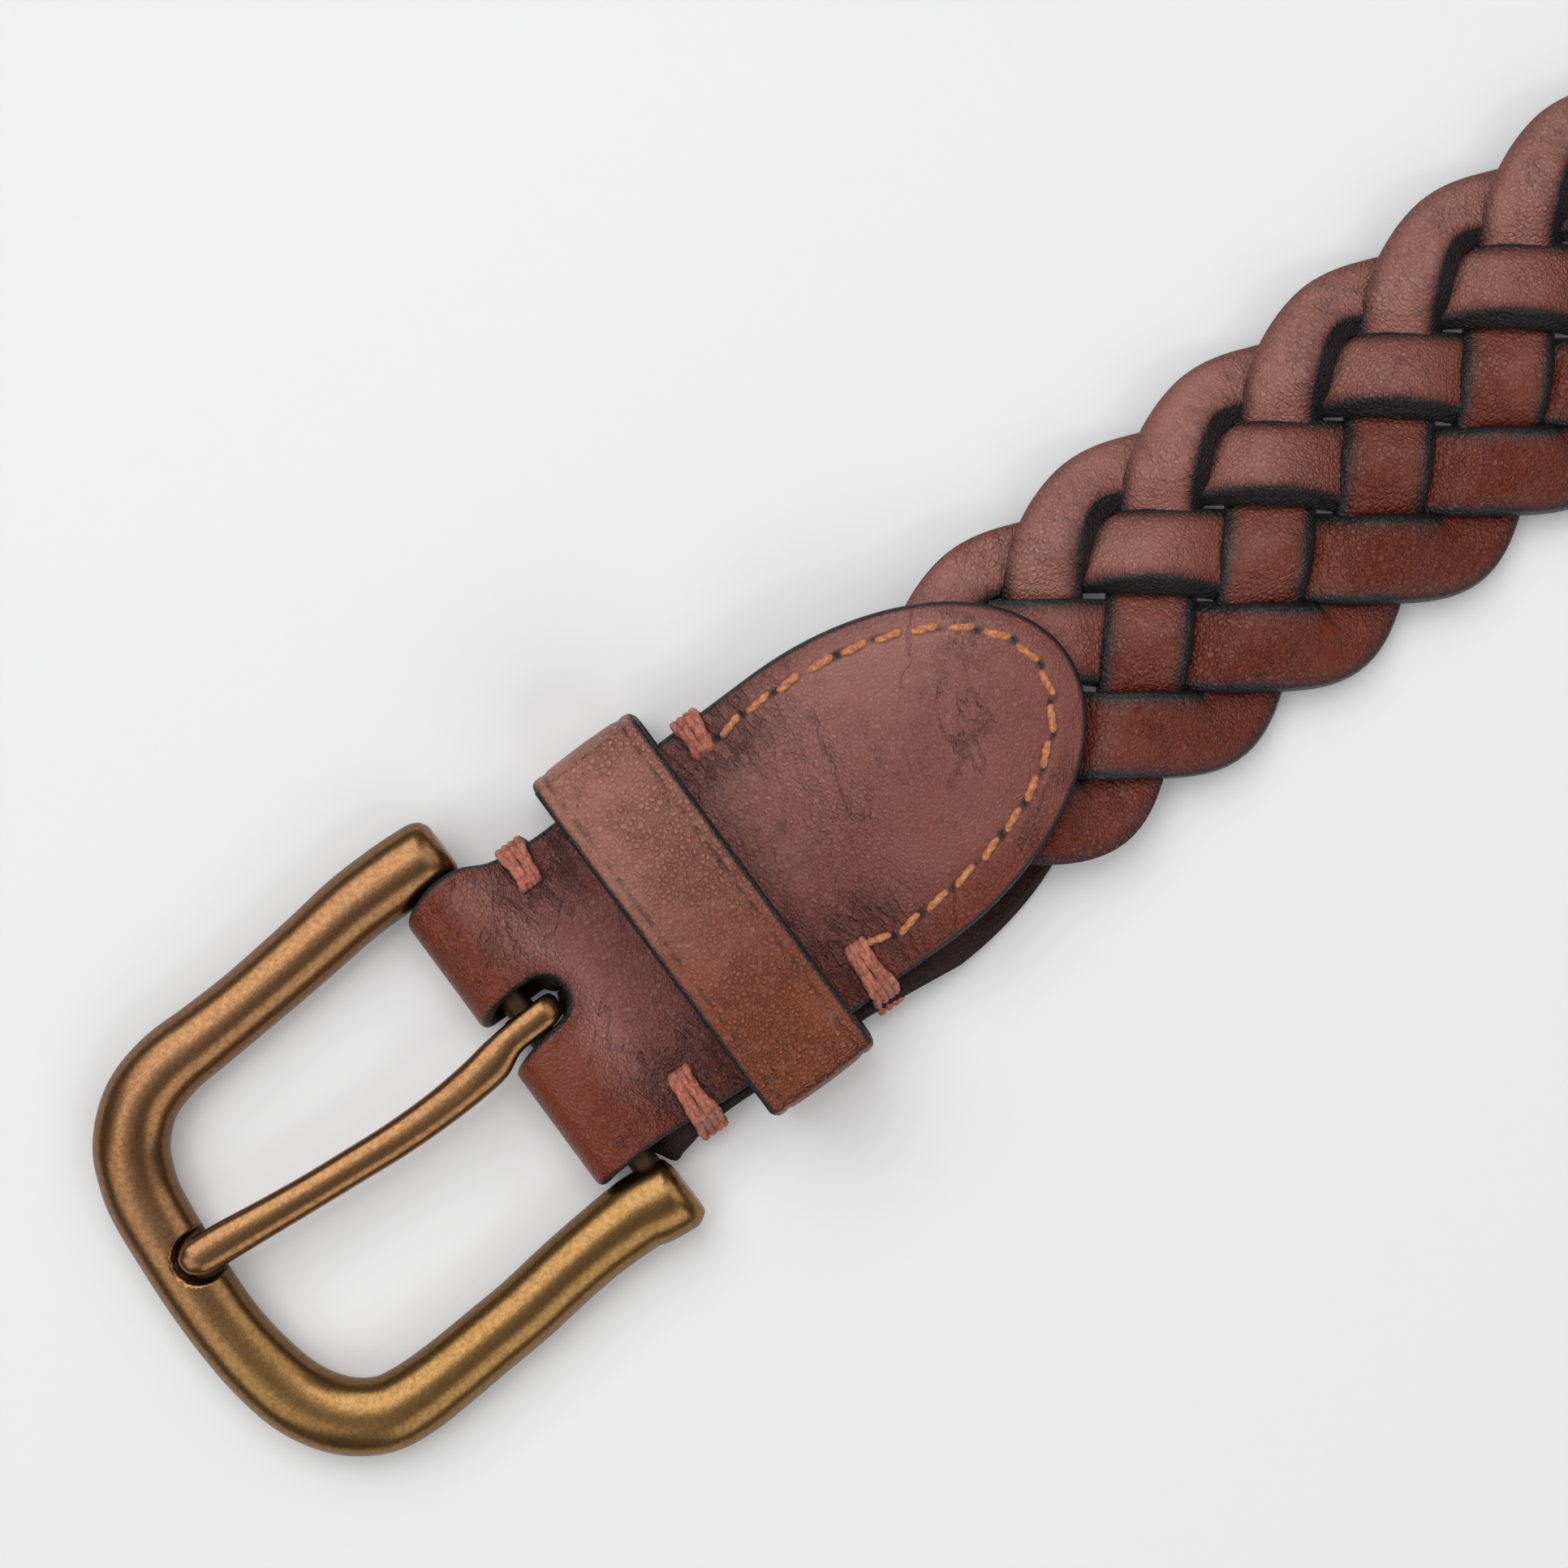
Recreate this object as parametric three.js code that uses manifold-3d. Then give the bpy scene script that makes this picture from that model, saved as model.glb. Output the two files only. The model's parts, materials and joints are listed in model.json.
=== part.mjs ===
// A man's casual leather belt, lying straight and face up.
// A cast brass buckle and its prong hang on a folded leather tab (the chape), which four thread
// tacks and a seam close over the end of a flat five-strand braid. A loose keeper slides between
// the tacks, and a stitched two-layer tab finishes the braid's tail.
// Millimetres. The origin is on the surface the belt lies on, under the buckle's heel bar.
// +X runs along the belt from the buckle to the tail, +Y across it, +Z out of its face.

import * as THREE from 'three';
import { mergeVertices } from 'three/addons/utils/BufferGeometryUtils.js';
import Module from 'manifold-3d';

const wasm = await Module();
wasm.setup();

// ---- driving dimensions ----

const LEATHER = 1.9;             // thickness of the chape and tip-tab leather
const HEEL_Z = 4.35;             // height of the heel bar's axis, and middle of every sandwich
const GAP = 0.3;                 // clearance between pieces that lie against each other

const BUCKLE_Y = 1.0;            // the loose buckle sits a little off the belt's line
const BUCKLE_SKEW = 2.5;         // and turned, degrees
const BAR_R = 1.5;               // heel bar radius
const FRAME_WIDTH = 7.6;         // cast frame section, across
const FRAME_HEIGHT = 6.2;        // and upright
const HEEL_WIDTH = 6.6;          // the section narrows where the arms meet the bar
const TIP_BAR_X = -44.1;         // middle of the bar that the prong rests on
const FRAME_END_X = 3.1;         // square ends of the arms, behind the bar
const NOTCH_DEPTH = 1.0;         // seat for the prong in the tip bar
const NOTCH_R = 2.8;
const NOTCH_X = -41.4;
const NOTCH_Y = 2.7;
const NOTCH_LENGTH = 8;          // the notch runs out through the frame's inner side
const NARROWING_X = -8;          // the arms narrow from here to their square ends
const BAR_LENGTH = 42;
const FRAME_STEPS = 44;          // facets of the cast frame along its line
const FRAME_SIDES = 16;          // and round its section

const LOOP_INNER_R = 1.8;        // the prong's eye round the heel bar
const LOOP_OUTER_R = 3.5;
const LOOP_Y = 2.3;
const LOOP_WIDTH = 2.8;
const LOOP_TURN = [-140, 90];    // directions from the bar between which the eye wraps it, degrees
const LOOP_STEP = 23;
const PRONG_HEIGHT = 2.5;
const PRONG_TIP_HEIGHT = 1.5;
const PRONG_GROWTH = 8;          // the prong reaches its full height this far from the bar
const PRONG_SIDES = 10;
const PRONG_FLATNESS = 0.7;      // powers that square up the prong's section: 1 gives an oval
const PRONG_UPRIGHTNESS = 0.8;

const FOLD_X = -0.45;            // centre of the fold round the heel bar
const FOLD_R = 2.0;              // inner radius of the fold
const PINCH = 0.2;               // half gap between the layers where the tacks pinch them
const SANDWICH = HEEL_Z - LEATHER;   // half gap where the layers hold the braid
const TONGUE_X = 39;             // where the chape's sides start to round towards the tongue tip
const TONGUE_LENGTH = 27.65;
const TONGUE_HALF = 17.05;
const PINCH_X = [1.2, 7.5];      // the layers close up behind the fold between these stations
const SPREAD_X = [33.5, 46];     // and part again over the braid
const UPPER_Y = 0.15;            // middle of the upper layer
const LOWER_Y = -2.3;            // the lower layer lies a little to one side
const LOWER_SHORTER = 1.5;       // and ends a little short of the upper one
const SLOT_X = 2.15;             // round end of the prong's slot through the fold
const SLOT_Y = 2.7;
const SLOT_R = 2.7;
const STRIP_END_X = 70;          // leather strips are cut from longer and wider ones
const STRIP_WIDTH = 50;
const ABOVE = 20;                // cutting prisms reach past everything else
const BELOW = -10;
const BEYOND = 40;

const KEEPER_X = [14.65, 27.35];
const KEEPER_Y = [-20.6, 21.4];
const KEEPER_TOP = 13.85;
const KEEPER_WALL = 1.8;
const KEEPER_CORNER = 3.4;

const TACK_WIRE = 1.2;           // thickness of a tack's wound thread
const TACK_CHAMFER = 0.8;
const NEAR_TACK_X = [7.3, 10.4];
const FAR_TACK_X = [29.4, 32.8];
const THREAD_R = 0.3;
const THREAD_SIDES = 6;
const SEAM_START_X = 33.2;       // the seam runs from the far tacks round the tongue
const SEAM_LENGTH = 24.6;
const SEAM_Y = 0.9;
const SEAM_HALF = 13.5;
const SEAM_STRAIGHT_STEPS = 4;
const SEAM_ROUND_STEPS = 22;

const STRANDS = 5;
const STRAND_STEP = 15.3;        // distance along the belt from one strand to the next
const CYCLE = STRANDS * STRAND_STEP;
const FIRST_APEX_X = 61.65;      // an outermost turn of strand 1
const BRAID_Y = -1.7;            // the braid's own centre line
const STRAND_WIDTH = 6.6;
const EDGE_WIDTH = 5.9;          // a strand banks, and so looks narrower, towards its edge turns
const TURN_WIDTH = 4.9;
const FREE_STRAND = 2.5;         // strand thickness in the open braid
const PRESSED_STRAND = 1.9;      // and skived and pressed between the end tabs' layers
const FREE_BRAID = 5.6;          // thickness of the open braid
const PRESSED_BRAID = 4.3;
const STRAND_MARGIN = 0.15;      // a strand stays level this far past the one that it crosses
const BRAID_START_X = 44;
const BRAID_END_X = 1010;
const SWELL_X = [68, 92];        // the braid swells to its free thickness between these stations
const THIN_X = [954, 978];       // and thins again before the tip tab
const NARROW_X = [44, 56];       // its end is gathered a little narrower inside the chape
const GATHERED = 0.82;
const TURN_FLAT = 1.4;           // half the level stretch of a strand in a turn
const TURN_LEVEL = 1 / 3;        // a turn's share of the rise and fall at a crossing
const SPARE = 12;                // strands and strips are made this much longer, then cut
const HINGE_X = [120, 255, 390, 525, 660, 795, 930];   // where the strap bends in this model
const HINGE_GAP = 2.1;

const TAB_X = 980;               // tip tab: inner end and overall length
const TAIL_X = 1075;
const TAB_HALF = 17.2;
const TAB_INNER_ROUND = 22;
const TAB_OUTER_ROUND = 16;
const TAB_STEP_X = [1011, 1032]; // its face layer comes down onto the back layer here
const TIP_SEAM_INSET = 3;
const TIP_SEAM_STEPS = 48;
const TIP_SEAM_LIFT = 1.5;       // the straight facets of the thread clear the face layer

// ---- finishes ----

const leather = new THREE.MeshStandardMaterial({ color: 0x6b3126, roughness: 0.5, metalness: 0 });
const brass = new THREE.MeshStandardMaterial({ color: 0x8f6f3c, roughness: 0.38, metalness: 1 });
const waxedThread = new THREE.MeshStandardMaterial({ color: 0x8a4b3c, roughness: 0.8, metalness: 0 });
const seamThread = new THREE.MeshStandardMaterial({ color: 0xc8743a, roughness: 0.7, metalness: 0 });

// ---- geometry helpers ----

const radians = THREE.MathUtils.degToRad;
const smooth = THREE.MathUtils.smoothstep;
const lerp = THREE.MathUtils.lerp;
const point = (x, y, z) => new THREE.Vector3(x, y, z);
const quarters = ([from, to]) => [0, 0.25, 0.5, 0.75, 1].map((t) => lerp(from, to, t));

function geometryOf(positions, indices) {
  const geometry = new THREE.BufferGeometry();
  geometry.setAttribute('position', new THREE.Float32BufferAttribute(positions, 3));
  geometry.setIndex(indices);
  return geometry;
}

// A closed skin over equal rings of points that run anticlockwise seen from the far end.
function loft(rings, isLoop = false) {
  const count = rings[0].length;
  const positions = rings.flat().flatMap((p) => [p.x, p.y, p.z]);
  const indices = [];
  const spans = isLoop ? rings.length : rings.length - 1;
  for (let i = 0; i < spans; i += 1) {
    const a = i * count;
    const b = ((i + 1) % rings.length) * count;
    for (let j = 0; j < count; j += 1) {
      const k = (j + 1) % count;
      indices.push(a + j, a + k, b + k, a + j, b + k, b + j);
    }
  }
  if (!isLoop) {
    const last = (rings.length - 1) * count;
    for (let j = 1; j < count - 1; j += 1) {
      indices.push(0, j + 1, j);
      indices.push(last, last + j, last + j + 1);
    }
  }
  return geometryOf(positions, indices);
}

// Rings of an oval section that stays upright along a path: width across, height up.
function ovalRings(path, width, height, sides, isLoop = false) {
  return path.map((p, i) => {
    const count = path.length;
    const before = path[isLoop ? (i + count - 1) % count : Math.max(i - 1, 0)];
    const after = path[isLoop ? (i + 1) % count : Math.min(i + 1, count - 1)];
    const along = after.clone().sub(before).normalize();
    const across = point(0, 0, 1).cross(along).normalize();
    const up = along.clone().cross(across);
    return Array.from({ length: sides }, (_, j) => {
      const turn = (2 * Math.PI * (j + 0.5)) / sides;
      return p.clone()
        .addScaledVector(across, (width(i) / 2) * Math.cos(turn))
        .addScaledVector(up, (height(i) / 2) * Math.sin(turn));
    });
  });
}

function toSolid(geometry) {
  const plain = geometry.clone();
  plain.deleteAttribute('normal');
  plain.deleteAttribute('uv');
  const merged = mergeVertices(plain, 1e-5);
  const mesh = new wasm.Mesh({
    numProp: 3,
    vertProperties: new Float32Array(merged.attributes.position.array),
    triVerts: new Uint32Array(merged.index.array),
  });
  return new wasm.Manifold(mesh);
}

function toGeometry(solid) {
  const mesh = solid.getMesh();
  return geometryOf(Array.from(mesh.vertProperties), Array.from(mesh.triVerts));
}

// A plan outline made into an upright prism.
function prism(shape, bottom, top, curveSegments = 12) {
  const geometry = new THREE.ExtrudeGeometry(shape, {
    depth: top - bottom,
    bevelEnabled: false,
    curveSegments,
  });
  return geometry.translate(0, 0, bottom);
}

function block(low, high) {
  const size = high.clone().sub(low);
  const middle = low.clone().add(high).multiplyScalar(0.5);
  return new THREE.BoxGeometry(size.x, size.y, size.z).translate(middle.x, middle.y, middle.z);
}

function addMesh(parent, name, geometry, material) {
  const mesh = new THREE.Mesh(geometry, material.clone());
  mesh.name = name;
  parent.add(mesh);
  return mesh;
}

// ---- buckle ----

// Half of the frame's centre line, from an arm's square end to the tip bar's middle.
const FRAME_HALF_LINE = [
  [FRAME_END_X, 22.1], [-1, 22.0], [-7, 21.6], [-16, 21.2], [-25, 21.25], [-32, 21.2],
  [-37.3, 19.6], [-40.9, 16.0], [-42.7, 10.5], [-43.7, 5], [TIP_BAR_X, 0],
];

function frameZ(x) {
  return lerp(HEEL_Z, FRAME_HEIGHT / 2, Math.min(Math.max(x / TIP_BAR_X, 0), 1));
}

function buckleFrame() {
  const half = FRAME_HALF_LINE.map(([x, y]) => point(x, y, frameZ(x)));
  const mirrored = half.slice(0, -1).reverse().map((p) => point(p.x, -p.y, p.z));
  const curve = new THREE.CatmullRomCurve3([...half, ...mirrored], false, 'centripetal');
  const path = curve.getSpacedPoints(FRAME_STEPS);
  const narrowing = (i) => smooth(path[i].x, NARROWING_X, FRAME_END_X);
  const width = (i) => lerp(FRAME_WIDTH, HEEL_WIDTH, narrowing(i));
  const arms = toSolid(loft(ovalRings(path, width, () => FRAME_HEIGHT, FRAME_SIDES)));
  const rod = new THREE.CylinderGeometry(BAR_R, BAR_R, BAR_LENGTH, FRAME_SIDES);
  const bar = toSolid(rod.translate(0, 0, HEEL_Z));
  const seat = new THREE.Shape();
  seat.absarc(0, 0, NOTCH_R, Math.PI / 2, (3 * Math.PI) / 2);
  seat.lineTo(NOTCH_LENGTH, -NOTCH_R);
  seat.lineTo(NOTCH_LENGTH, NOTCH_R);
  const notch = prism(seat, FRAME_HEIGHT - NOTCH_DEPTH, ABOVE).translate(NOTCH_X, NOTCH_Y, 0);
  return toGeometry(arms.add(bar).subtract(toSolid(notch)));
}

// The prong's centre line in plan, from its eye to its tip: x, y, height of its middle, width.
const PRONG_LINE = [
  [-3.0, 1.75, 7.0, 3.3], [-6.5, 0.85, 6.85, 3.8], [-12.5, 0.35, 6.45, 3.9], [-18, 0.45, 6.25, 4.0],
  [-23, 0.85, 6.25, 4.0], [-28, 1.35, 6.4, 4.0], [-33, 1.9, 6.6, 4.1], [-38, 2.4, 6.75, 4.3],
  [-41.2, 2.6, 6.8, 4.0], [-43.1, 2.65, 6.75, 2.6],
];

function squared(value, power) {
  return Math.sign(value) * Math.abs(value) ** power;
}

function prong() {
  const eyeMiddle = (LOOP_INNER_R + LOOP_OUTER_R) / 2;
  const eyeHeight = LOOP_OUTER_R - LOOP_INNER_R;
  const rings = [];
  const ring = (centre, up, width, height) => {
    rings.push(Array.from({ length: PRONG_SIDES }, (_, j) => {
      const turn = (2 * Math.PI * (j + 0.5)) / PRONG_SIDES;
      const flat = squared(Math.cos(turn), PRONG_FLATNESS);
      const tall = squared(Math.sin(turn), PRONG_UPRIGHTNESS);
      return centre.clone()
        .add(point(0, -(width / 2) * flat, 0))
        .addScaledVector(up, (height / 2) * tall);
    }));
  };
  for (let degrees = LOOP_TURN[0]; degrees <= LOOP_TURN[1]; degrees += LOOP_STEP) {
    const up = point(Math.cos(radians(degrees)), 0, Math.sin(radians(degrees)));
    const centre = point(0, LOOP_Y, HEEL_Z).addScaledVector(up, eyeMiddle);
    ring(centre, up, LOOP_WIDTH, eyeHeight);
  }
  const plan = PRONG_LINE.map(([x, y, z]) => point(x, y, z));
  plan.forEach((p, i) => {
    const before = i === 0 ? point(0, LOOP_Y, HEEL_Z + eyeMiddle) : plan[i - 1];
    const after = plan[Math.min(i + 1, plan.length - 1)];
    const along = after.clone().sub(before).setY(0).normalize();
    const up = point(-along.z, 0, along.x).multiplyScalar(Math.sign(along.x));
    const grow = smooth(-p.x, 0, PRONG_GROWTH);
    const shrink = i === plan.length - 1 ? PRONG_TIP_HEIGHT / PRONG_HEIGHT : 1;
    ring(p, up, PRONG_LINE[i][3], lerp(eyeHeight, PRONG_HEIGHT, grow) * shrink);
  });
  return loft(rings);
}

// ---- chape ----

// Half of the gap between the chape's two layers at a distance x behind the fold.
function halfGap(x) {
  if (x < SPREAD_X[0]) {
    return lerp(FOLD_R, PINCH, smooth(x, ...PINCH_X));
  }
  return lerp(PINCH, SANDWICH, smooth(x, ...SPREAD_X));
}

// The strip's side view: up the lower layer, round the fold and back along the upper one.
function foldProfile() {
  const stations = [...quarters(PINCH_X), ...quarters(SPREAD_X), STRIP_END_X];
  const profile = new THREE.Shape();
  const outer = FOLD_R + LEATHER;
  const backwards = [...stations].reverse();
  profile.moveTo(STRIP_END_X, HEEL_Z + SANDWICH);
  backwards.slice(1).forEach((x) => profile.lineTo(x, HEEL_Z + halfGap(x)));
  profile.absarc(FOLD_X, HEEL_Z, FOLD_R, Math.PI / 2, (3 * Math.PI) / 2, false);
  stations.forEach((x) => profile.lineTo(x, HEEL_Z - halfGap(x)));
  backwards.forEach((x) => profile.lineTo(x, HEEL_Z - halfGap(x) - LEATHER));
  profile.absarc(FOLD_X, HEEL_Z, outer, (3 * Math.PI) / 2, Math.PI / 2, true);
  stations.forEach((x) => profile.lineTo(x, HEEL_Z + halfGap(x) + LEATHER));
  return profile;
}

// A side view swept across the belt, wider than any part of it.
function sweepAcross(profile, curveSegments = 8) {
  const geometry = new THREE.ExtrudeGeometry(profile, {
    depth: STRIP_WIDTH,
    bevelEnabled: false,
    curveSegments,
  });
  return geometry.rotateX(Math.PI / 2).translate(0, STRIP_WIDTH / 2, 0);
}

// Plan outline of one layer: its front corners and sides by hand, its tongue a half ellipse.
function layerOutline(front, centreY, length) {
  const shape = new THREE.Shape();
  shape.moveTo(...front[0]);
  front.slice(1).forEach((p) => shape.lineTo(...p));
  shape.lineTo(TONGUE_X, centreY + TONGUE_HALF);
  shape.absellipse(TONGUE_X, centreY, length, TONGUE_HALF, Math.PI / 2, -Math.PI / 2, true, 0);
  return shape;
}

const UPPER_FRONT = [
  [8, -16.3], [4, -15.6], [-1, -15.6], [-6, -16.4], [-6, 18.0], [-1.5, 18.8], [1, 19.2],
  [3.5, 18.9], [6, 17.7], [8, 17.2],
];
const LOWER_FRONT = [
  [28, -18.1], [7, -18.1], [5.8, -17.4], [-6, -16.9], [-6, 16.8], [8, 15.6],
];

// The two flared sides of the prong's slot, before and after its round end.
const SLOT_RIGHT = [[-9, -2.3], [-4.4, -1.9], [-2.8, -0.9], [0.5, 0]];
const SLOT_LEFT = [[0, 5.4], [-2.8, 4.9], [-4.4, 3.8], [-9, 3.7]];

function slotOutline() {
  const slot = new THREE.Shape();
  slot.moveTo(...SLOT_RIGHT[0]);
  SLOT_RIGHT.slice(1).forEach((p) => slot.lineTo(...p));
  slot.absarc(SLOT_X, SLOT_Y, SLOT_R, -Math.PI / 2, Math.PI / 2);
  SLOT_LEFT.forEach((p) => slot.lineTo(...p));
  return slot;
}

function chape() {
  const strip = toSolid(sweepAcross(foldProfile()));
  const upperLine = layerOutline(UPPER_FRONT, UPPER_Y, TONGUE_LENGTH);
  const lowerLine = layerOutline(LOWER_FRONT, LOWER_Y, TONGUE_LENGTH - LOWER_SHORTER);
  const upper = toSolid(prism(upperLine, HEEL_Z, ABOVE));
  const lower = toSolid(prism(lowerLine, BELOW, HEEL_Z));
  const slot = toSolid(prism(slotOutline(), BELOW, ABOVE));
  return toGeometry(strip.intersect(upper.add(lower)).subtract(slot));
}

// ---- keeper, tacks and seams ----

function roundedRectangle(low, high, corner) {
  const path = new THREE.Shape();
  path.moveTo(low[0] + corner, low[1]);
  path.lineTo(high[0] - corner, low[1]);
  path.absarc(high[0] - corner, low[1] + corner, corner, -Math.PI / 2, 0);
  path.lineTo(high[0], high[1] - corner);
  path.absarc(high[0] - corner, high[1] - corner, corner, 0, Math.PI / 2);
  path.lineTo(low[0] + corner, high[1]);
  path.absarc(low[0] + corner, high[1] - corner, corner, Math.PI / 2, Math.PI);
  path.lineTo(low[0], low[1] + corner);
  path.absarc(low[0] + corner, low[1] + corner, corner, Math.PI, (3 * Math.PI) / 2);
  return path;
}

// A flat YZ profile swept along X between two stations.
function extrudeAlongX(shape, [start, end], curveSegments = 5) {
  const geometry = new THREE.ExtrudeGeometry(shape, {
    depth: end - start,
    bevelEnabled: false,
    curveSegments,
  });
  geometry.rotateX(Math.PI / 2).rotateZ(Math.PI / 2);
  return geometry.translate(start, 0, 0);
}

function keeper() {
  const outer = roundedRectangle([KEEPER_Y[0], 0], [KEEPER_Y[1], KEEPER_TOP], KEEPER_CORNER);
  const low = [KEEPER_Y[0] + KEEPER_WALL, KEEPER_WALL];
  const high = [KEEPER_Y[1] - KEEPER_WALL, KEEPER_TOP - KEEPER_WALL];
  outer.holes.push(roundedRectangle(low, high, KEEPER_CORNER - KEEPER_WALL));
  return extrudeAlongX(outer, KEEPER_X);
}

// A tack is a clamp of wound thread over the strap's edge; side is +1 or -1 across the belt,
// and the tack reaches in as far as innerY from the strap's edge at edgeY.
const TACKS = [
  { name: 'tack_near_left', stations: NEAR_TACK_X, side: 1, innerY: 13, edgeY: 17.7 },
  { name: 'tack_near_right', stations: NEAR_TACK_X, side: -1, innerY: -11, edgeY: -18.4 },
  { name: 'tack_far_left', stations: FAR_TACK_X, side: 1, innerY: 13.5, edgeY: 17.5 },
  { name: 'tack_far_right', stations: FAR_TACK_X, side: -1, innerY: -11, edgeY: -18.9 },
];

function tack({ stations, side, innerY, edgeY }) {
  const top = HEEL_Z + PINCH + LEATHER + GAP;
  const bottom = HEEL_Z - PINCH - LEATHER - GAP;
  const outerY = edgeY + side * (GAP + TACK_WIRE);
  const clamp = new THREE.Shape();
  clamp.moveTo(innerY, top);
  clamp.lineTo(edgeY + side * GAP, top);
  clamp.lineTo(edgeY + side * GAP, bottom);
  clamp.lineTo(innerY, bottom);
  clamp.lineTo(innerY, bottom - TACK_WIRE);
  clamp.lineTo(outerY - side * TACK_CHAMFER, bottom - TACK_WIRE);
  clamp.lineTo(outerY, bottom - TACK_WIRE + TACK_CHAMFER);
  clamp.lineTo(outerY, top + TACK_WIRE - TACK_CHAMFER);
  clamp.lineTo(outerY - side * TACK_CHAMFER, top + TACK_WIRE);
  clamp.lineTo(innerY, top + TACK_WIRE);
  return extrudeAlongX(clamp, stations);
}

function threadAlong(path, isLoop) {
  const thickness = () => 2 * THREAD_R;
  return loft(ovalRings(path, thickness, thickness, THREAD_SIDES, isLoop), isLoop);
}

// The seam runs a little inside the tongue's rounded edge, on the upper layer.
function headSeam() {
  const height = (x) => HEEL_Z + halfGap(x) + LEATHER + GAP + THREAD_R;
  const straight = (side) => Array.from({ length: SEAM_STRAIGHT_STEPS }, (_, i) => {
    const x = lerp(SEAM_START_X, TONGUE_X, i / SEAM_STRAIGHT_STEPS);
    return point(x, SEAM_Y + side * SEAM_HALF, height(x));
  });
  const round = Array.from({ length: SEAM_ROUND_STEPS + 1 }, (_, i) => {
    const turn = Math.PI * (i / SEAM_ROUND_STEPS - 0.5);
    const x = TONGUE_X + SEAM_LENGTH * Math.cos(turn);
    return point(x, SEAM_Y + SEAM_HALF * Math.sin(turn), height(x));
  });
  return threadAlong([...straight(-1), ...round, ...straight(1).reverse()], false);
}

// ---- braid ----

// One strand's centre line over one cycle, measured from an upper turn: distance along the belt,
// distance across it, and whether it passes over (+1) or under (-1) the strand that it meets.
const STRAND_LINE = [
  { x: 0, y: 14.1, level: 0, width: TURN_WIDTH },
  { x: 10.3, y: 11.7, level: -1, width: EDGE_WIDTH },
  { x: 18.8, y: 5.3, level: 1, width: STRAND_WIDTH },
  { x: 27.1, y: -1.5, level: -1, width: STRAND_WIDTH },
  { x: 35.8, y: -8.3, level: 1, width: STRAND_WIDTH },
  { x: 44, y: -13.3, level: 0, width: EDGE_WIDTH },
  { x: 51.1, y: -8.3, level: -1, width: STRAND_WIDTH },
  { x: 57.7, y: -1.5, level: 1, width: STRAND_WIDTH },
  { x: 64.7, y: 5.3, level: -1, width: STRAND_WIDTH },
  { x: 71.5, y: 11.7, level: 1, width: EDGE_WIDTH },
];

function linePoint(index) {
  const count = STRAND_LINE.length;
  const turns = Math.floor(index / count);
  const p = STRAND_LINE[index - turns * count];
  return { ...p, x: p.x + turns * CYCLE };
}

function lineSlope(index) {
  const before = linePoint(index - 1);
  const after = linePoint(index + 1);
  return (after.y - before.y) / (after.x - before.x);
}

// Height across the belt and direction of a strand's centre line, by cubic pieces.
function strandAt(x) {
  let index = Math.floor(x / CYCLE) * STRAND_LINE.length;
  while (linePoint(index + 1).x <= x) {
    index += 1;
  }
  const a = linePoint(index);
  const b = linePoint(index + 1);
  const span = b.x - a.x;
  const t = (x - a.x) / span;
  const slopeA = lineSlope(index) * span;
  const slopeB = lineSlope(index + 1) * span;
  const c2 = 3 * (b.y - a.y) - 2 * slopeA - slopeB;
  const c3 = 2 * (a.y - b.y) + slopeA + slopeB;
  const y = a.y + t * (slopeA + t * (c2 + t * c3));
  const slope = (slopeA + t * (2 * c2 + t * 3 * c3)) / span;
  return { y, angle: Math.atan(slope) };
}

// Directions of the two strands that meet at a crossing differ by this much.
function crossingAngle(index) {
  const count = STRAND_LINE.length;
  const own = Math.atan(lineSlope(index));
  const partner = count - THREE.MathUtils.euclideanModulo(index, count);
  return { own, other: Math.atan(lineSlope(partner)) };
}

// The braid thins and narrows where it goes in between the leather layers of either end.
function freeBraid(x) {
  return smooth(x, ...SWELL_X) * (1 - smooth(x, ...THIN_X));
}

function braidNarrowing(x) {
  return lerp(GATHERED, 1, smooth(x, ...NARROW_X));
}

// One ring of a strand: its section is slanted to lie along the strand that it crosses.
function strandRing(originX, x, skew, level, width) {
  const bulk = freeBraid(originX + x);
  const thickness = lerp(PRESSED_STRAND, FREE_STRAND, bulk);
  const swing = (lerp(PRESSED_BRAID, FREE_BRAID, bulk) - thickness) / 2;
  const middle = lerp(HEEL_Z, FREE_BRAID / 2, bulk) + level * swing;
  const narrow = braidNarrowing(originX + x);
  const edge = (side) => {
    const lateral = (side * width) / 2;
    const shifted = x + lateral * skew * Math.cos(strandAt(x).angle);
    const { y, angle } = strandAt(shifted);
    const plan = [
      originX + shifted - lateral * Math.sin(angle),
      BRAID_Y + narrow * (y + lateral * Math.cos(angle)),
    ];
    return [point(...plan, middle - thickness / 2), point(...plan, middle + thickness / 2)];
  };
  const [leftLow, leftHigh] = edge(1);
  const [rightLow, rightHigh] = edge(-1);
  return [leftLow, leftHigh, rightHigh, rightLow];
}

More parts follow.
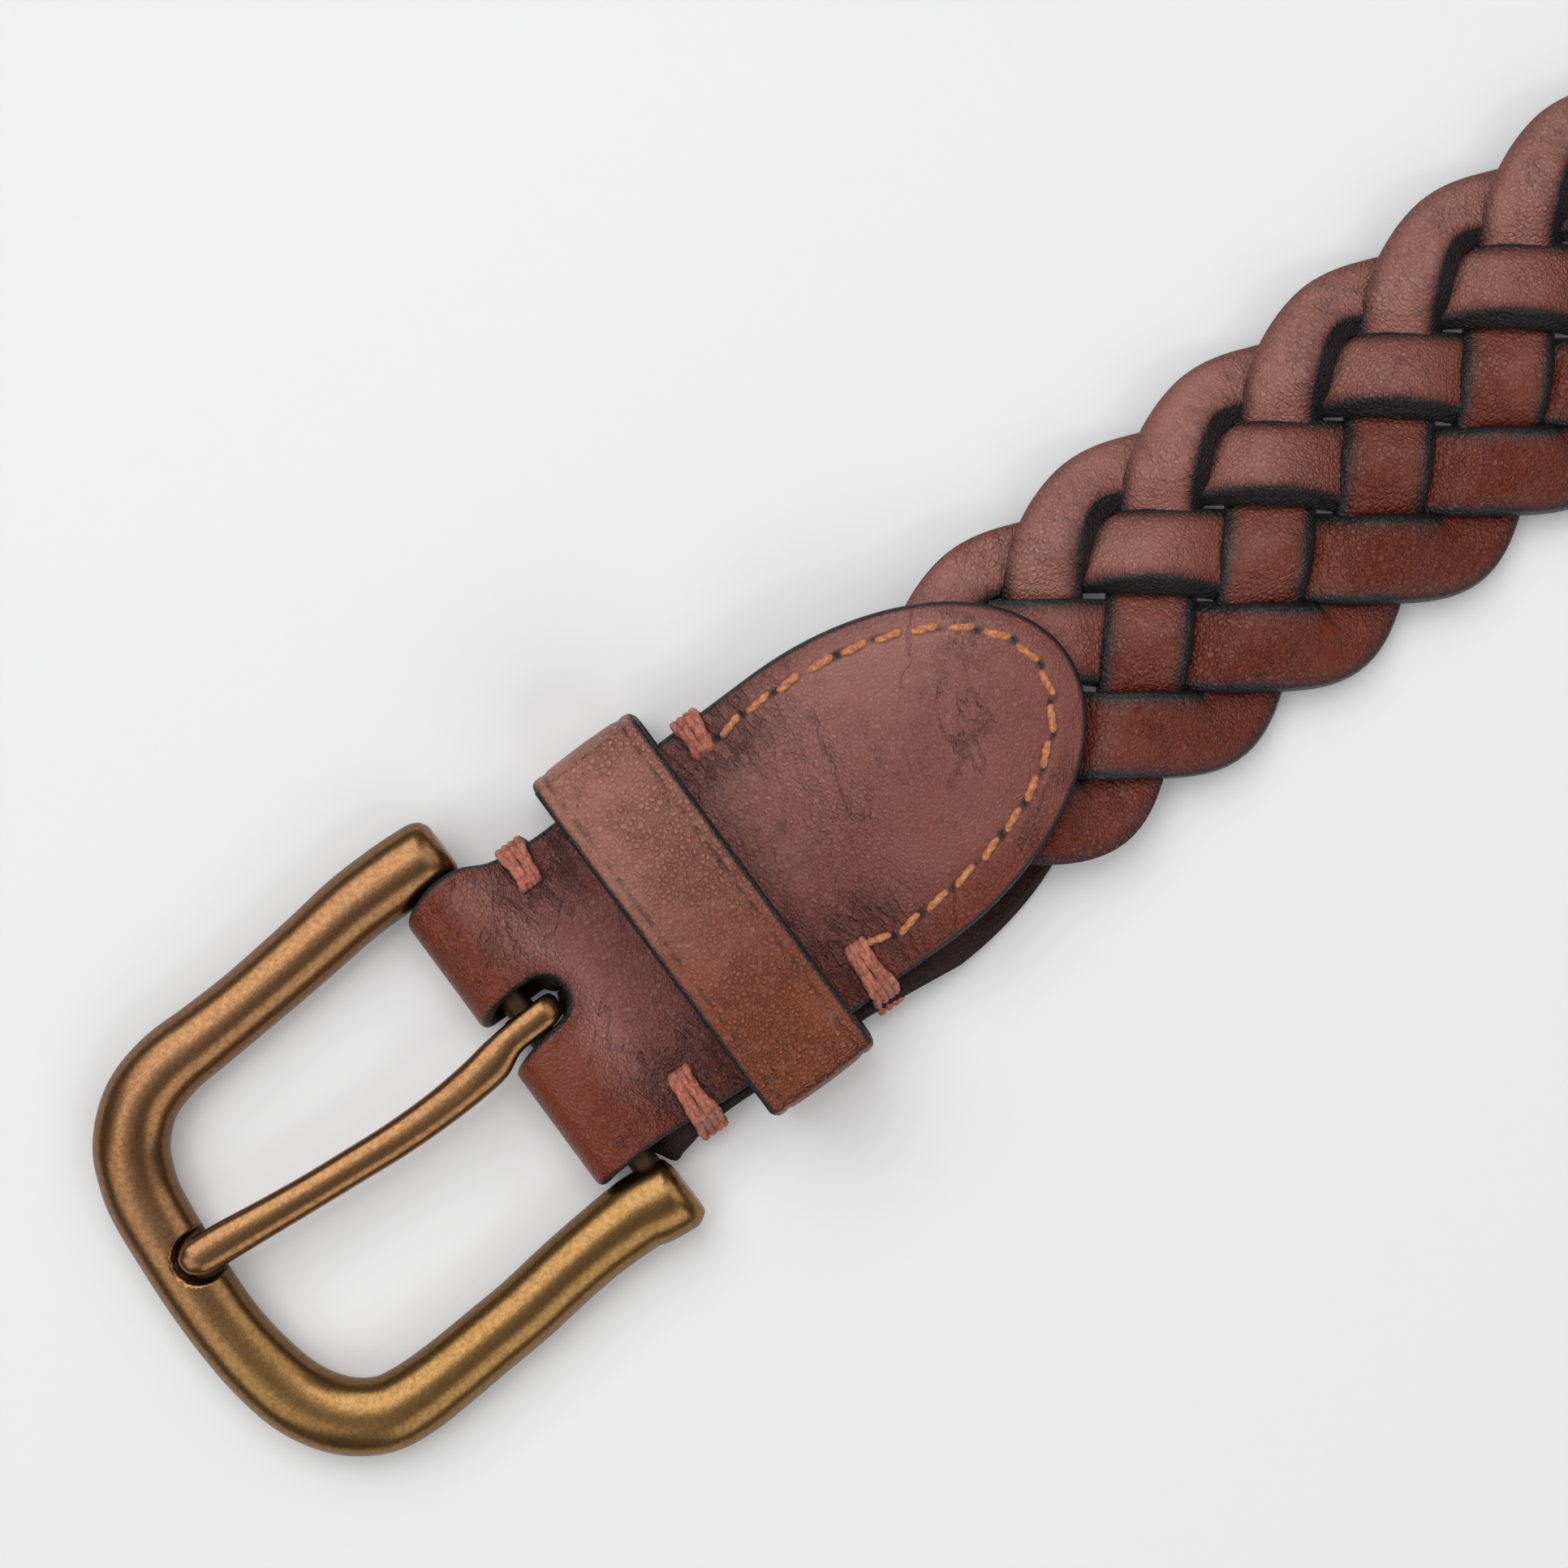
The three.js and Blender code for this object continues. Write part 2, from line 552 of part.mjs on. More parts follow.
function strandRings(originX, start, end) {
  const rings = [];
  const keep = (x, skew, level, width) => {
    if (originX + x > start && originX + x < end) {
      rings.push(strandRing(originX, x, skew, level, width));
    }
  };
  const count = STRAND_LINE.length;
  const firstIndex = Math.floor((start - originX) / CYCLE) * count;
  const lastIndex = Math.ceil((end - originX) / CYCLE) * count;
  for (let index = firstIndex; index < lastIndex; index += 1) {
    const here = linePoint(index);
    if (here.level === 0) {
      const before = linePoint(index - 1);
      const after = linePoint(index + 1);
      const middle = (before.x + after.x) / 2;
      keep(middle - TURN_FLAT, 0, before.level * TURN_LEVEL, here.width);
      keep(middle + TURN_FLAT, 0, after.level * TURN_LEVEL, here.width);
    } else {
      const { own, other } = crossingAngle(index);
      const between = Math.abs(own - other);
      const skew = Math.sign(other - own) / Math.tan(between);
      const reach = ((here.width / 2 + STRAND_MARGIN) / Math.sin(between)) * Math.cos(own);
      keep(here.x - reach, skew, here.level, here.width);
      keep(here.x + reach, skew, here.level, here.width);
    }
  }
  return rings;
}

// All pieces of one strand, cut apart where the strap bends.
function strandPieces(strand) {
  const originX = FIRST_APEX_X + strand * STRAND_STEP;
  const rings = strandRings(originX, BRAID_START_X - SPARE, BRAID_END_X + SPARE);
  const whole = toSolid(loft(rings));
  const cuts = [BRAID_START_X - HINGE_GAP / 2, ...HINGE_X, BRAID_END_X + HINGE_GAP / 2];
  return cuts.slice(1).map((cut, i) => {
    const low = point(cuts[i] + HINGE_GAP / 2, -BEYOND, BELOW);
    const high = point(cut - HINGE_GAP / 2, BEYOND, ABOVE);
    return toGeometry(whole.intersect(toSolid(block(low, high))));
  });
}

// ---- tip tab ----

function tabOutline(inset) {
  const half = TAB_HALF - inset;
  const inner = TAB_X + TAB_INNER_ROUND;
  const outer = TAIL_X - TAB_OUTER_ROUND;
  const shape = new THREE.Shape();
  shape.moveTo(inner, BRAID_Y - half);
  shape.absellipse(outer, BRAID_Y, TAB_OUTER_ROUND - inset, half, -Math.PI / 2, Math.PI / 2);
  shape.absellipse(inner, BRAID_Y, TAB_INNER_ROUND - inset, half, Math.PI / 2, (3 * Math.PI) / 2);
  return shape;
}

// Underside of the tab's face layer: high over the braid's end, then down onto the back layer.
function faceLayerZ(x) {
  const overBraid = HEEL_Z + SANDWICH;
  return lerp(overBraid, LEATHER + GAP, smooth(x, ...TAB_STEP_X));
}

function tipFace() {
  const profile = new THREE.Shape();
  const stations = [TAB_X - SPARE, ...quarters(TAB_STEP_X), TAIL_X + SPARE];
  profile.moveTo(stations[0], faceLayerZ(stations[0]));
  stations.slice(1).forEach((x) => profile.lineTo(x, faceLayerZ(x)));
  stations.reverse().forEach((x) => profile.lineTo(x, faceLayerZ(x) + LEATHER));
  const strip = toSolid(sweepAcross(profile));
  return toGeometry(strip.intersect(toSolid(prism(tabOutline(0), BELOW, ABOVE))));
}

function tipBack() {
  return prism(tabOutline(0), 0, LEATHER);
}

function tipSeam() {
  const outline = tabOutline(TIP_SEAM_INSET).getSpacedPoints(TIP_SEAM_STEPS).slice(0, -1);
  const height = (x) => faceLayerZ(x) + LEATHER + TIP_SEAM_LIFT;
  const path = outline.map((p) => point(p.x, p.y, height(p.x)));
  return threadAlong(path, true);
}

// ---- the belt ----

const belt = new THREE.Group();

const buckle = new THREE.Group();
buckle.position.set(0, BUCKLE_Y, 0);
buckle.rotation.z = radians(BUCKLE_SKEW);
belt.add(buckle);
addMesh(buckle, 'buckle_frame', buckleFrame(), brass);
addMesh(belt, 'prong', prong(), brass);

addMesh(belt, 'chape', chape(), leather);
addMesh(belt, 'keeper', keeper(), leather);
TACKS.forEach((place) => addMesh(belt, place.name, tack(place), waxedThread));
addMesh(belt, 'head_seam', headSeam(), seamThread);

for (let strand = 0; strand < STRANDS; strand += 1) {
  strandPieces(strand).forEach((geometry, section) => {
    addMesh(belt, `strand_${strand + 1}_section_${section + 1}`, geometry, leather);
  });
}

addMesh(belt, 'tip_tab_face', tipFace(), leather);
addMesh(belt, 'tip_tab_back', tipBack(), leather);
addMesh(belt, 'tip_seam', tipSeam(), seamThread);

export default belt;
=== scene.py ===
import json
import math
import random

import bmesh
import bpy
import numpy as np
from mathutils import Matrix, Vector


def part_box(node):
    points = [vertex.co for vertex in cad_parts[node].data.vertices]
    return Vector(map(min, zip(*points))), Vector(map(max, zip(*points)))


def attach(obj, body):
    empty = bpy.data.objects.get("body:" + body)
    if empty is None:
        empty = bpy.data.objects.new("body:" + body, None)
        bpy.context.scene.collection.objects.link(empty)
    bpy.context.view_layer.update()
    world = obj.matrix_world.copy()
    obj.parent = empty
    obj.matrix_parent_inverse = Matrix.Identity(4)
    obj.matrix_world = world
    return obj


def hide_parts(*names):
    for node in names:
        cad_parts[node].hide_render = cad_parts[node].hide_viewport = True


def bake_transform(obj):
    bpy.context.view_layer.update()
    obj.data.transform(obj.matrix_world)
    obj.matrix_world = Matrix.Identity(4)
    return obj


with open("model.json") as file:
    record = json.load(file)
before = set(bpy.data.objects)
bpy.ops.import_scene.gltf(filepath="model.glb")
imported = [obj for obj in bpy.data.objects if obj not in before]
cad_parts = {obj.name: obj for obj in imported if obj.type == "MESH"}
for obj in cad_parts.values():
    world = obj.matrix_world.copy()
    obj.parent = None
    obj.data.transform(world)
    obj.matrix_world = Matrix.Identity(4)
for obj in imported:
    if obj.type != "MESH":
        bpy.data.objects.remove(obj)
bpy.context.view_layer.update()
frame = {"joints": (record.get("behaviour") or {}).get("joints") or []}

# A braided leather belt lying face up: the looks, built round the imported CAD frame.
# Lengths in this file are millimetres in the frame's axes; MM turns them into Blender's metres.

MM = 0.001
JOINTS = {joint["name"]: joint for joint in frame["joints"]}
STRANDS = 5


def corners(node):
    """Lowest and highest corner of a CAD node, in millimetres."""
    low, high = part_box(node)
    return np.array(low) / MM, np.array(high) / MM


# ---- sizes read from the frame ----

HEEL = np.array(JOINTS["buckle_pivot"]["pos_m"]) / MM
HEEL_Z = HEEL[2]
BAR_AXIS = JOINTS["buckle_pivot"]["axis"]
BUCKLE_SKEW = math.atan2(-BAR_AXIS[0], BAR_AXIS[1])
HINGE_X = [joint["pos_m"][0] / MM for name, joint in JOINTS.items() if name.startswith("strap_bend")]
BRAID_Y = JOINTS["strap_bend_1"]["pos_m"][1] / MM
CHAPE_HIGH = corners("chape")[1]
KEEPER_LOW, KEEPER_HIGH = corners("keeper")
TAB_LOW, TAB_HIGH = corners("tip_tab_face")
TAB_BACK_TOP = corners("tip_tab_back")[1][2]
BRAID_START = corners("strand_1_section_1")[0][0]
BRAID_END = corners("strand_1_section_8")[1][0]
FREE_BRAID = corners("strand_1_section_3")[1][2]

LEATHER = TAB_BACK_TOP
SANDWICH = CHAPE_HIGH[2] - HEEL_Z - LEATHER
TONGUE_TIP = CHAPE_HIGH[0]


# ---- small mathematics ----

def smooth(x, low, high):
    t = np.clip((np.asarray(x, float) - low) / (high - low), 0, 1)
    return t * t * (3 - 2 * t)


def lerp(a, b, t):
    return a + (b - a) * t


def length_along(path):
    steps = np.linalg.norm(np.diff(path[:, :3], axis=0), axis=1)
    return np.concatenate([[0], np.cumsum(steps)])


def at_lengths(path, along, wanted):
    return np.column_stack([np.interp(wanted, along, path[:, k]) for k in range(path.shape[1])])


def spline(points, count, closed=False):
    """Evenly spaced points on a smooth curve through the given ones."""
    points = np.array(points, float)
    if closed:
        points = np.vstack([points[-2:], points, points[:2]])
    else:
        points = np.vstack([2 * points[0] - points[1], points, 2 * points[-1] - points[-2]])
    fine = []
    for a, b, c, d in zip(points, points[1:], points[2:], points[3:]):
        for t in np.linspace(0, 1, 40, endpoint=False):
            fine.append(0.5 * (2 * b + (c - a) * t + (2 * a - 5 * b + 4 * c - d) * t**2
                               + (3 * b - 3 * c + d - a) * t**3))
    fine = np.array(fine[:-40] if closed else fine + [points[-2]])
    along = length_along(fine)
    return at_lengths(fine, along, np.linspace(0, along[-1], count, endpoint=not closed))


def smooth_table(table, x):
    """A smooth function through a short table of (x, value) rows."""
    xs, ys = np.array(table, float).T
    slopes = np.gradient(ys, xs)
    i = np.clip(np.searchsorted(xs, x, side="right") - 1, 0, len(xs) - 2)
    span = xs[i + 1] - xs[i]
    t = np.clip((x - xs[i]) / span, 0, 1)
    return ((2 * t**3 - 3 * t**2 + 1) * ys[i] + (t**3 - 2 * t**2 + t) * span * slopes[i]
            + (3 * t**2 - 2 * t**3) * ys[i + 1] + (t**3 - t**2) * span * slopes[i + 1])


def distance_to(points, line):
    """Distance from each point to an open polyline, in the plane."""
    best = np.full(len(points), 1e9)
    for a, b in zip(line, line[1:]):
        along = b - a
        t = np.clip(((points - a) @ along) / max(along @ along, 1e-12), 0, 1)
        best = np.minimum(best, np.linalg.norm(points - a - t[:, None] * along, axis=1))
    return best


# ---- meshes ----

def make_object(name, vertices, faces, material, attributes=None, weld=None):
    """A smooth-shaded mesh object from millimetre vertices, with named values on its points."""
    mesh = bpy.data.meshes.new(name)
    mesh.from_pydata((np.array(vertices) * MM).tolist(), [], faces)
    for key, values in (attributes or {}).items():
        layer = mesh.attributes.new(key, "FLOAT", "POINT")
        layer.data.foreach_set("value", np.array(values, np.float32))
    shape = bmesh.new()
    shape.from_mesh(mesh)
    if weld:
        bmesh.ops.remove_doubles(shape, verts=shape.verts, dist=weld * MM)
        bmesh.ops.dissolve_degenerate(shape, dist=1e-8, edges=shape.edges)
    bmesh.ops.recalc_face_normals(shape, faces=shape.faces)
    shape.to_mesh(mesh)
    shape.free()
    mesh.shade_smooth()
    mesh.materials.append(material)
    piece = bpy.data.objects.new(name, mesh)
    bpy.context.scene.collection.objects.link(piece)
    return piece


def tube_faces(rings, sides, loop=False, offset=0):
    faces = []
    for i in range(rings if loop else rings - 1):
        a = offset + i * sides
        b = offset + ((i + 1) % rings) * sides
        for j in range(sides):
            k = (j + 1) % sides
            faces.append((a + j, a + k, b + k, b + j))
    if not loop:
        last = offset + (rings - 1) * sides
        faces.append(tuple(range(offset + sides - 1, offset - 1, -1)))
        faces.append(tuple(range(last, last + sides)))
    return faces


def frames_along(path, loop=False):
    """Unit tangents, level side vectors and the third direction along a path."""
    if loop:
        tangent = np.roll(path, -1, axis=0) - np.roll(path, 1, axis=0)
    else:
        tangent = np.gradient(path, axis=0)
    tangent /= np.linalg.norm(tangent, axis=1)[:, None]
    side = np.cross([0, 0, 1], tangent)
    length = np.linalg.norm(side, axis=1)
    side = np.where(length[:, None] > 1e-6, side / np.maximum(length, 1e-6)[:, None], [0, 1, 0])
    return tangent, side, np.cross(tangent, side)


def rounded_section(count, box_x=0.6, box_y=0.6):
    """A unit section between an ellipse (powers of 1) and a rectangle (powers near 0)."""
    turn = (np.arange(count) + 0.5) * 2 * math.pi / count
    across = np.sign(np.cos(turn)) * np.abs(np.cos(turn)) ** box_x
    up = np.sign(np.sin(turn)) * np.abs(np.sin(turn)) ** box_y
    return across, up


def twisted_tube(path, radius, plies, pitch, sides):
    """Rings of a laid thread: its section has one lobe a ply, and turns along the path."""
    _, side, up = frames_along(path)
    along = length_along(path)
    turn = np.arange(sides) * 2 * math.pi / sides
    lay = turn[None, :] - 2 * math.pi * along[:, None] / pitch
    r = radius * (1 + 0.11 * np.cos(plies * lay))
    ends = np.minimum(along, along[-1] - along)
    r = r * (0.55 + 0.45 * smooth(ends, 0, radius))[:, None]
    offset = (r * np.cos(turn))[..., None] * side[:, None]
    offset = offset + (r * np.sin(turn))[..., None] * up[:, None]
    return (path[:, None] + offset).reshape(-1, 3), len(path), sides


# ---- materials ----

class Shader:
    """A new node material and a short way to add and join its nodes."""

    def __init__(self, name):
        self.material = bpy.data.materials.new(name)
        self.material.use_nodes = True
        self.tree = self.material.node_tree
        self.surface = self.tree.nodes["Principled BSDF"]
        coordinates = self.tree.nodes.new("ShaderNodeTexCoord")
        self.place = coordinates.outputs["Object"]

    def add(self, kind, output=0, settings=None, **inputs):
        made = self.tree.nodes.new("ShaderNode" + kind)
        for key, value in (settings or {}).items():
            setattr(made, key, value)
        for key, value in inputs.items():
            socket = made.inputs[int(key[1:])] if key[0] == "i" and key[1:].isdigit() else made.inputs[key]
            self.put(value, socket)
        return made.outputs[output]

    def put(self, value, socket):
        if isinstance(value, bpy.types.NodeSocket):
            self.tree.links.new(value, socket)
        else:
            socket.default_value = value

    def math(self, operation, a, b=0.0, clamp=False):
        return self.add("Math", settings={"operation": operation, "use_clamp": clamp}, i0=a, i1=b)

    def times(self, a, b, clamp=False):
        return self.math("MULTIPLY", a, b, clamp)

    def plus(self, a, b, clamp=False):
        return self.math("ADD", a, b, clamp)

    def minus(self, a, b):
        return self.math("SUBTRACT", a, b)

    def mix(self, factor, a, b, blend="MIX"):
        return self.add("Mix", 2, {"data_type": "RGBA", "blend_type": blend}, i0=factor, i6=a, i7=b)

    def noise(self, scale, detail=4.0, roughness=0.55, distortion=0.0, vector=None):
        return self.add("TexNoise", Vector=vector or self.place, Scale=scale, Detail=detail,
                        Roughness=roughness, Distortion=distortion)

    def ramp(self, value, low, high):
        return self.add("MapRange", settings={"interpolation_type": "SMOOTHSTEP"}, i0=value, i1=low, i2=high)

    def value_of(self, name):
        return self.add("Attribute", 2, {"attribute_name": name})

    def drawn_out(self, turn, ratio):
        """The object's coordinates, drawn out along one direction in plan."""
        return self.add("Mapping", settings={"vector_type": "TEXTURE"}, Vector=self.place,
                        Rotation=(0, 0, math.radians(turn)), Scale=(ratio, 1, 1))

    def thin_lines(self, value, thickness):
        """Lines where a noise crosses its middle value."""
        off = self.math("ABSOLUTE", self.minus(value, 0.5))
        return self.minus(1.0, self.ramp(off, 0.0, thickness))

    def bump(self, height, strength, distance, normal=None):
        made = self.add("Bump", Height=height, Strength=strength, Distance=distance * MM)
        if normal is not None:
            self.tree.links.new(normal, made.node.inputs["Normal"])
        return made


def leather_material(name, base, warm, pale, pebbled, creased):
    """Vegetable-tanned leather: pebble grain, creases, near-black edges, a warm burnish mixed with painted
    shade, a painted sheen, and painted shade in creases, gathers and hidden faces.
    """
    s = Shader(name)
    cloud = s.noise(60, 5)
    mottle = s.noise(420, 6, 0.65)
    # painted sheen: where the light falls, the colour is mixed towards the pale tone, broken up by the mottle
    painted_sheen = s.times(s.value_of("painted_sheen"), s.plus(s.times(mottle, 0.7), 0.65), clamp=True)
    colour = s.mix(s.times(s.ramp(cloud, 0.3, 0.75), 0.2), base, pale)
    colour = s.mix(painted_sheen, colour, pale)
    # warm, darker tone: partly burnish, partly painted shade on the side away from the light
    warmth = s.times(s.value_of("burnish_and_shade"), s.plus(s.ramp(cloud, 0.2, 0.7), 0.5), clamp=True)
    colour = s.mix(warmth, colour, warm)
    colour = s.mix(s.times(s.ramp(mottle, 0.5, 0.75), 0.3), colour, (0.075, 0.018, 0.011, 1))

    # pebble grain, stronger in patches, with painted shade darkening its valleys
    pebble = s.add("TexVoronoi", 0, {"feature": "DISTANCE_TO_EDGE"}, Vector=s.place, Scale=1750.0)
    pebble_height = s.ramp(pebble, 0.0, 0.3)
    patch = s.plus(s.times(s.ramp(s.noise(85, 3), 0.36, 0.56), 0.55), 0.45)
    patch = s.times(patch, pebbled)
    valley = s.times(s.minus(1.0, s.ramp(pebble, 0.0, 0.12)), s.times(patch, 0.4))
    colour = s.mix(valley, colour, (0.05, 0.014, 0.01, 1))
    pores = s.noise(2600, 3, 0.6)

    # creases: long faint ones, fine wrinkles in patches, and deep ones where the leather is gathered
    long_line = s.thin_lines(s.noise(95, 6, 0.58, 0.5, vector=s.drawn_out(54, 2.6)), 0.016)
    long_line = s.times(long_line, s.ramp(s.noise(120, 3), 0.38, 0.55))
    fine_line = s.thin_lines(s.noise(520, 5, 0.55, 0.5, vector=s.drawn_out(70, 2.4)), 0.05)
    fine_line = s.times(fine_line, s.ramp(s.noise(90, 4), 0.42, 0.64))
    deep_line = s.thin_lines(s.noise(560, 4, 0.55, 0.7, vector=s.drawn_out(97, 4.0)), 0.085)
    deep_line = s.times(deep_line, s.value_of("wrinkle"))
    creases = s.plus(s.times(long_line, 0.6), s.times(fine_line, 0.32))
    creases = s.plus(s.times(creases, creased), deep_line, clamp=True)
    # painted shade: darker where the leather is gathered, and darker still in the creases
    colour = s.mix(s.times(s.value_of("wrinkle"), 0.55), colour, (0.085, 0.022, 0.016, 1))
    colour = s.mix(s.times(creases, 0.6), colour, (0.04, 0.011, 0.009, 1))

    # fine ridges across the strip, where it is bent
    strip = s.add("CombineXYZ", i0=s.value_of("along"), i1=s.times(s.value_of("across"), 0.33), i2=0.0)
    ridges = s.noise(1.5, 4, 0.6, 0.7, vector=strip)
    ridges = s.times(ridges, s.value_of("ridged"))

    # edges: burnished dark brown first, then painted almost black
    uneven = s.times(s.minus(s.noise(330, 4), 0.5), 0.3)
    edge = s.plus(s.value_of("edge"), s.times(uneven, s.ramp(s.value_of("edge"), 0.0, 0.2)))
    colour = s.mix(s.times(s.ramp(edge, 0.05, 0.65), 0.8), colour, (0.042, 0.017, 0.014, 1))
    painted = s.ramp(edge, 0.5, 0.92)
    colour = s.mix(painted, colour, (0.0125, 0.0115, 0.0125, 1))
    # painted shade: near black on inner faces, undersides and stitch holes
    colour = s.mix(s.value_of("dark"), colour, (0.012, 0.006, 0.005, 1))

    rough = s.plus(s.times(s.noise(160, 5), 0.2), 0.23)
    rough = s.plus(rough, s.times(painted, 0.16))
    rough = s.plus(rough, s.times(s.value_of("dark"), 0.4), clamp=True)
    normal = s.bump(s.times(pebble_height, patch), 0.95, 0.22)
    normal = s.bump(pores, 0.35, 0.05, normal)
    normal = s.bump(s.minus(1.0, creases), 0.9, 0.16, normal)
    normal = s.bump(ridges, 0.9, 0.28, normal)
    normal = s.bump(mottle, 0.35, 0.12, normal)
    s.put(colour, s.surface.inputs["Base Color"])
    s.put(rough, s.surface.inputs["Roughness"])
    s.put(normal, s.surface.inputs["Normal"])
    s.surface.inputs["Specular IOR Level"].default_value = 0.3
    s.surface.inputs["Coat Weight"].default_value = 0.06
    s.surface.inputs["Coat Roughness"].default_value = 0.18
    return s.material


def brass_material(name):
    """Antiqued brass: tumbled grain, brown patination in patches and hollows, painted shade on the bar and
    the prong's eye, darker side walls, brighter rubbed spots.
    """
    s = Shader(name)
    grain = s.noise(1900, 7, 0.72)
    fine = s.noise(5200, 3, 0.6)
    patch = s.noise(75, 6, 0.62, 0.5)
    side = s.add("SeparateXYZ", 1, i0=s.place)
    golden = s.plus(s.times(s.ramp(side, 0.012, -0.02), 0.7), s.times(patch, 0.5), clamp=True)
    colour = s.mix(s.ramp(golden, 0.15, 0.95), (0.245, 0.123, 0.057, 1), (0.252, 0.140, 0.050, 1))
    colour = s.mix(s.times(s.ramp(grain, 0.48, 0.64), 0.4), colour, (0.11, 0.054, 0.024, 1))
    colour = s.mix(s.times(s.ramp(grain, 0.5, 0.36), 0.3), colour, (0.40, 0.23, 0.105, 1))
    # patination in the prong's seat, painted shade on the bar and on the prong's eye inside the fold, and
    # darker side walls of the frame
    colour = s.mix(s.times(s.value_of("patina_and_shade"), 0.9), colour, (0.045, 0.028, 0.018, 1))
    rough = s.plus(s.times(grain, 0.14), 0.2)
    rough = s.plus(rough, s.times(s.value_of("patina_and_shade"), 0.25))
    normal = s.bump(grain, 0.35, 0.04)
    normal = s.bump(fine, 0.2, 0.02, normal)
    normal = s.bump(s.noise(260, 3), 0.12, 0.12, normal)
    s.put(colour, s.surface.inputs["Base Color"])
    s.put(rough, s.surface.inputs["Roughness"])
    s.put(normal, s.surface.inputs["Normal"])
    s.surface.inputs["Metallic"].default_value = 1.0
    return s.material


def thread_material(name, light, dark, scale):
    """Waxed laid thread: fibres along the plies, darker in the lay."""
    s = Shader(name)
    fibre = s.noise(scale, 5, 0.65, 0.4)
    colour = s.mix(s.ramp(fibre, 0.35, 0.66), dark, light)
    s.put(colour, s.surface.inputs["Base Color"])
    s.surface.inputs["Roughness"].default_value = 0.62
    s.surface.inputs["Sheen Weight"].default_value = 0.25
    s.surface.inputs["Sheen Roughness"].default_value = 0.4
    s.put(s.bump(fibre, 0.6, 0.08), s.surface.inputs["Normal"])
    return s.material


def floor_material():
    s = Shader("studio_floor")
    tone = s.mix(s.noise(3.0, 2), (0.71, 0.71, 0.715, 1), (0.73, 0.73, 0.73, 1))
    s.put(tone, s.surface.inputs["Base Color"])
    # the floor glows faintly: painted light that lifts the shadows on it
    s.surface.inputs["Emission Color"].default_value = (1, 1, 1, 1)
    s.surface.inputs["Emission Strength"].default_value = 0.07
    s.surface.inputs["Roughness"].default_value = 0.75
    s.surface.inputs["Specular IOR Level"].default_value = 0.2
    return s.material


# Leathers: base tone, a warm darker tone for burnish and painted shade, and a pale tone for random tone and
# painted sheen.
CHAPE_LEATHER = leather_material("chape_leather", (0.170, 0.046, 0.034, 1), (0.160, 0.028, 0.010, 1),
                                 (0.325, 0.143, 0.118, 1), 0.5, 1.0)
KEEPER_LEATHER = leather_material("keeper_leather", (0.205, 0.062, 0.042, 1), (0.235, 0.063, 0.028, 1),
                                  (0.375, 0.160, 0.115, 1), 1.0, 0.6)
BRAID_LEATHER = leather_material("strand_leather", (0.190, 0.050, 0.034, 1), (0.132, 0.0165, 0.003, 1),
                                 (0.350, 0.150, 0.120, 1), 0.7, 0.5)
BRASS = brass_material("antique_brass")
TACK_THREAD = thread_material("tack_thread", (0.52, 0.165, 0.105, 1), (0.25, 0.066, 0.042, 1), 1500)
SEAM_THREAD = thread_material("seam_thread", (0.62, 0.25, 0.10, 1), (0.33, 0.10, 0.034, 1), 2200)


# ---- buckle ----

FRAME_HEIGHT = 6.2
# centre line of the bar and its width, from the left heel round to the right heel
FRAME_LINE = [
    (3.45, 21.95, 7.5), (2.9, 21.95, 7.5), (1.9, 22.0, 7.6), (0.15, 22.1, 7.7), (-2.85, 22.25, 7.7),
    (-7.9, 22.2, 7.6), (-12.9, 21.7, 7.4), (-17.9, 21.25, 7.3), (-22.9, 20.9, 7.2), (-27.9, 20.7, 7.4),
    (-32.9, 20.5, 7.7), (-37.3, 19.2, 7.9), (-40.7, 16.3, 8.0), (-42.4, 13.0, 7.9), (-43.2, 10, 7.8),
    (-43.7, 5, 7.7), (-44.0, 0, 7.7), (-44.05, -5, 7.6), (-43.6, -10, 7.8), (-42.4, -15, 8.0),
    (-40.0, -19.0, 8.1), (-36.6, -21.5, 8.0), (-32.9, -22.25, 7.8), (-27.9, -22.2, 7.5), (-22.9, -21.9, 7.4),
    (-17.9, -21.6, 7.4), (-12.9, -21.0, 7.4), (-7.9, -20.6, 7.5), (-2.85, -20.5, 7.9), (-0.85, -20.8, 8.2),
    (1.15, -21.1, 8.1), (2.4, -21.2, 8.0), (2.95, -21.2, 7.9),
]
FRAME_TIP_X = -44.1
# how far from each end its corners and its top start to round off
LEFT_HEEL = (2.3, 3.4)
RIGHT_HEEL = (1.5, 2.4)
NOTCH = (-41.4, 2.7)
NOTCH_R = 2.9
NOTCH_FLOOR = 4.5
BAR_R = 1.5
BAR_ENDS = (-18.5, 20.5)
BAR_RINGS = 40


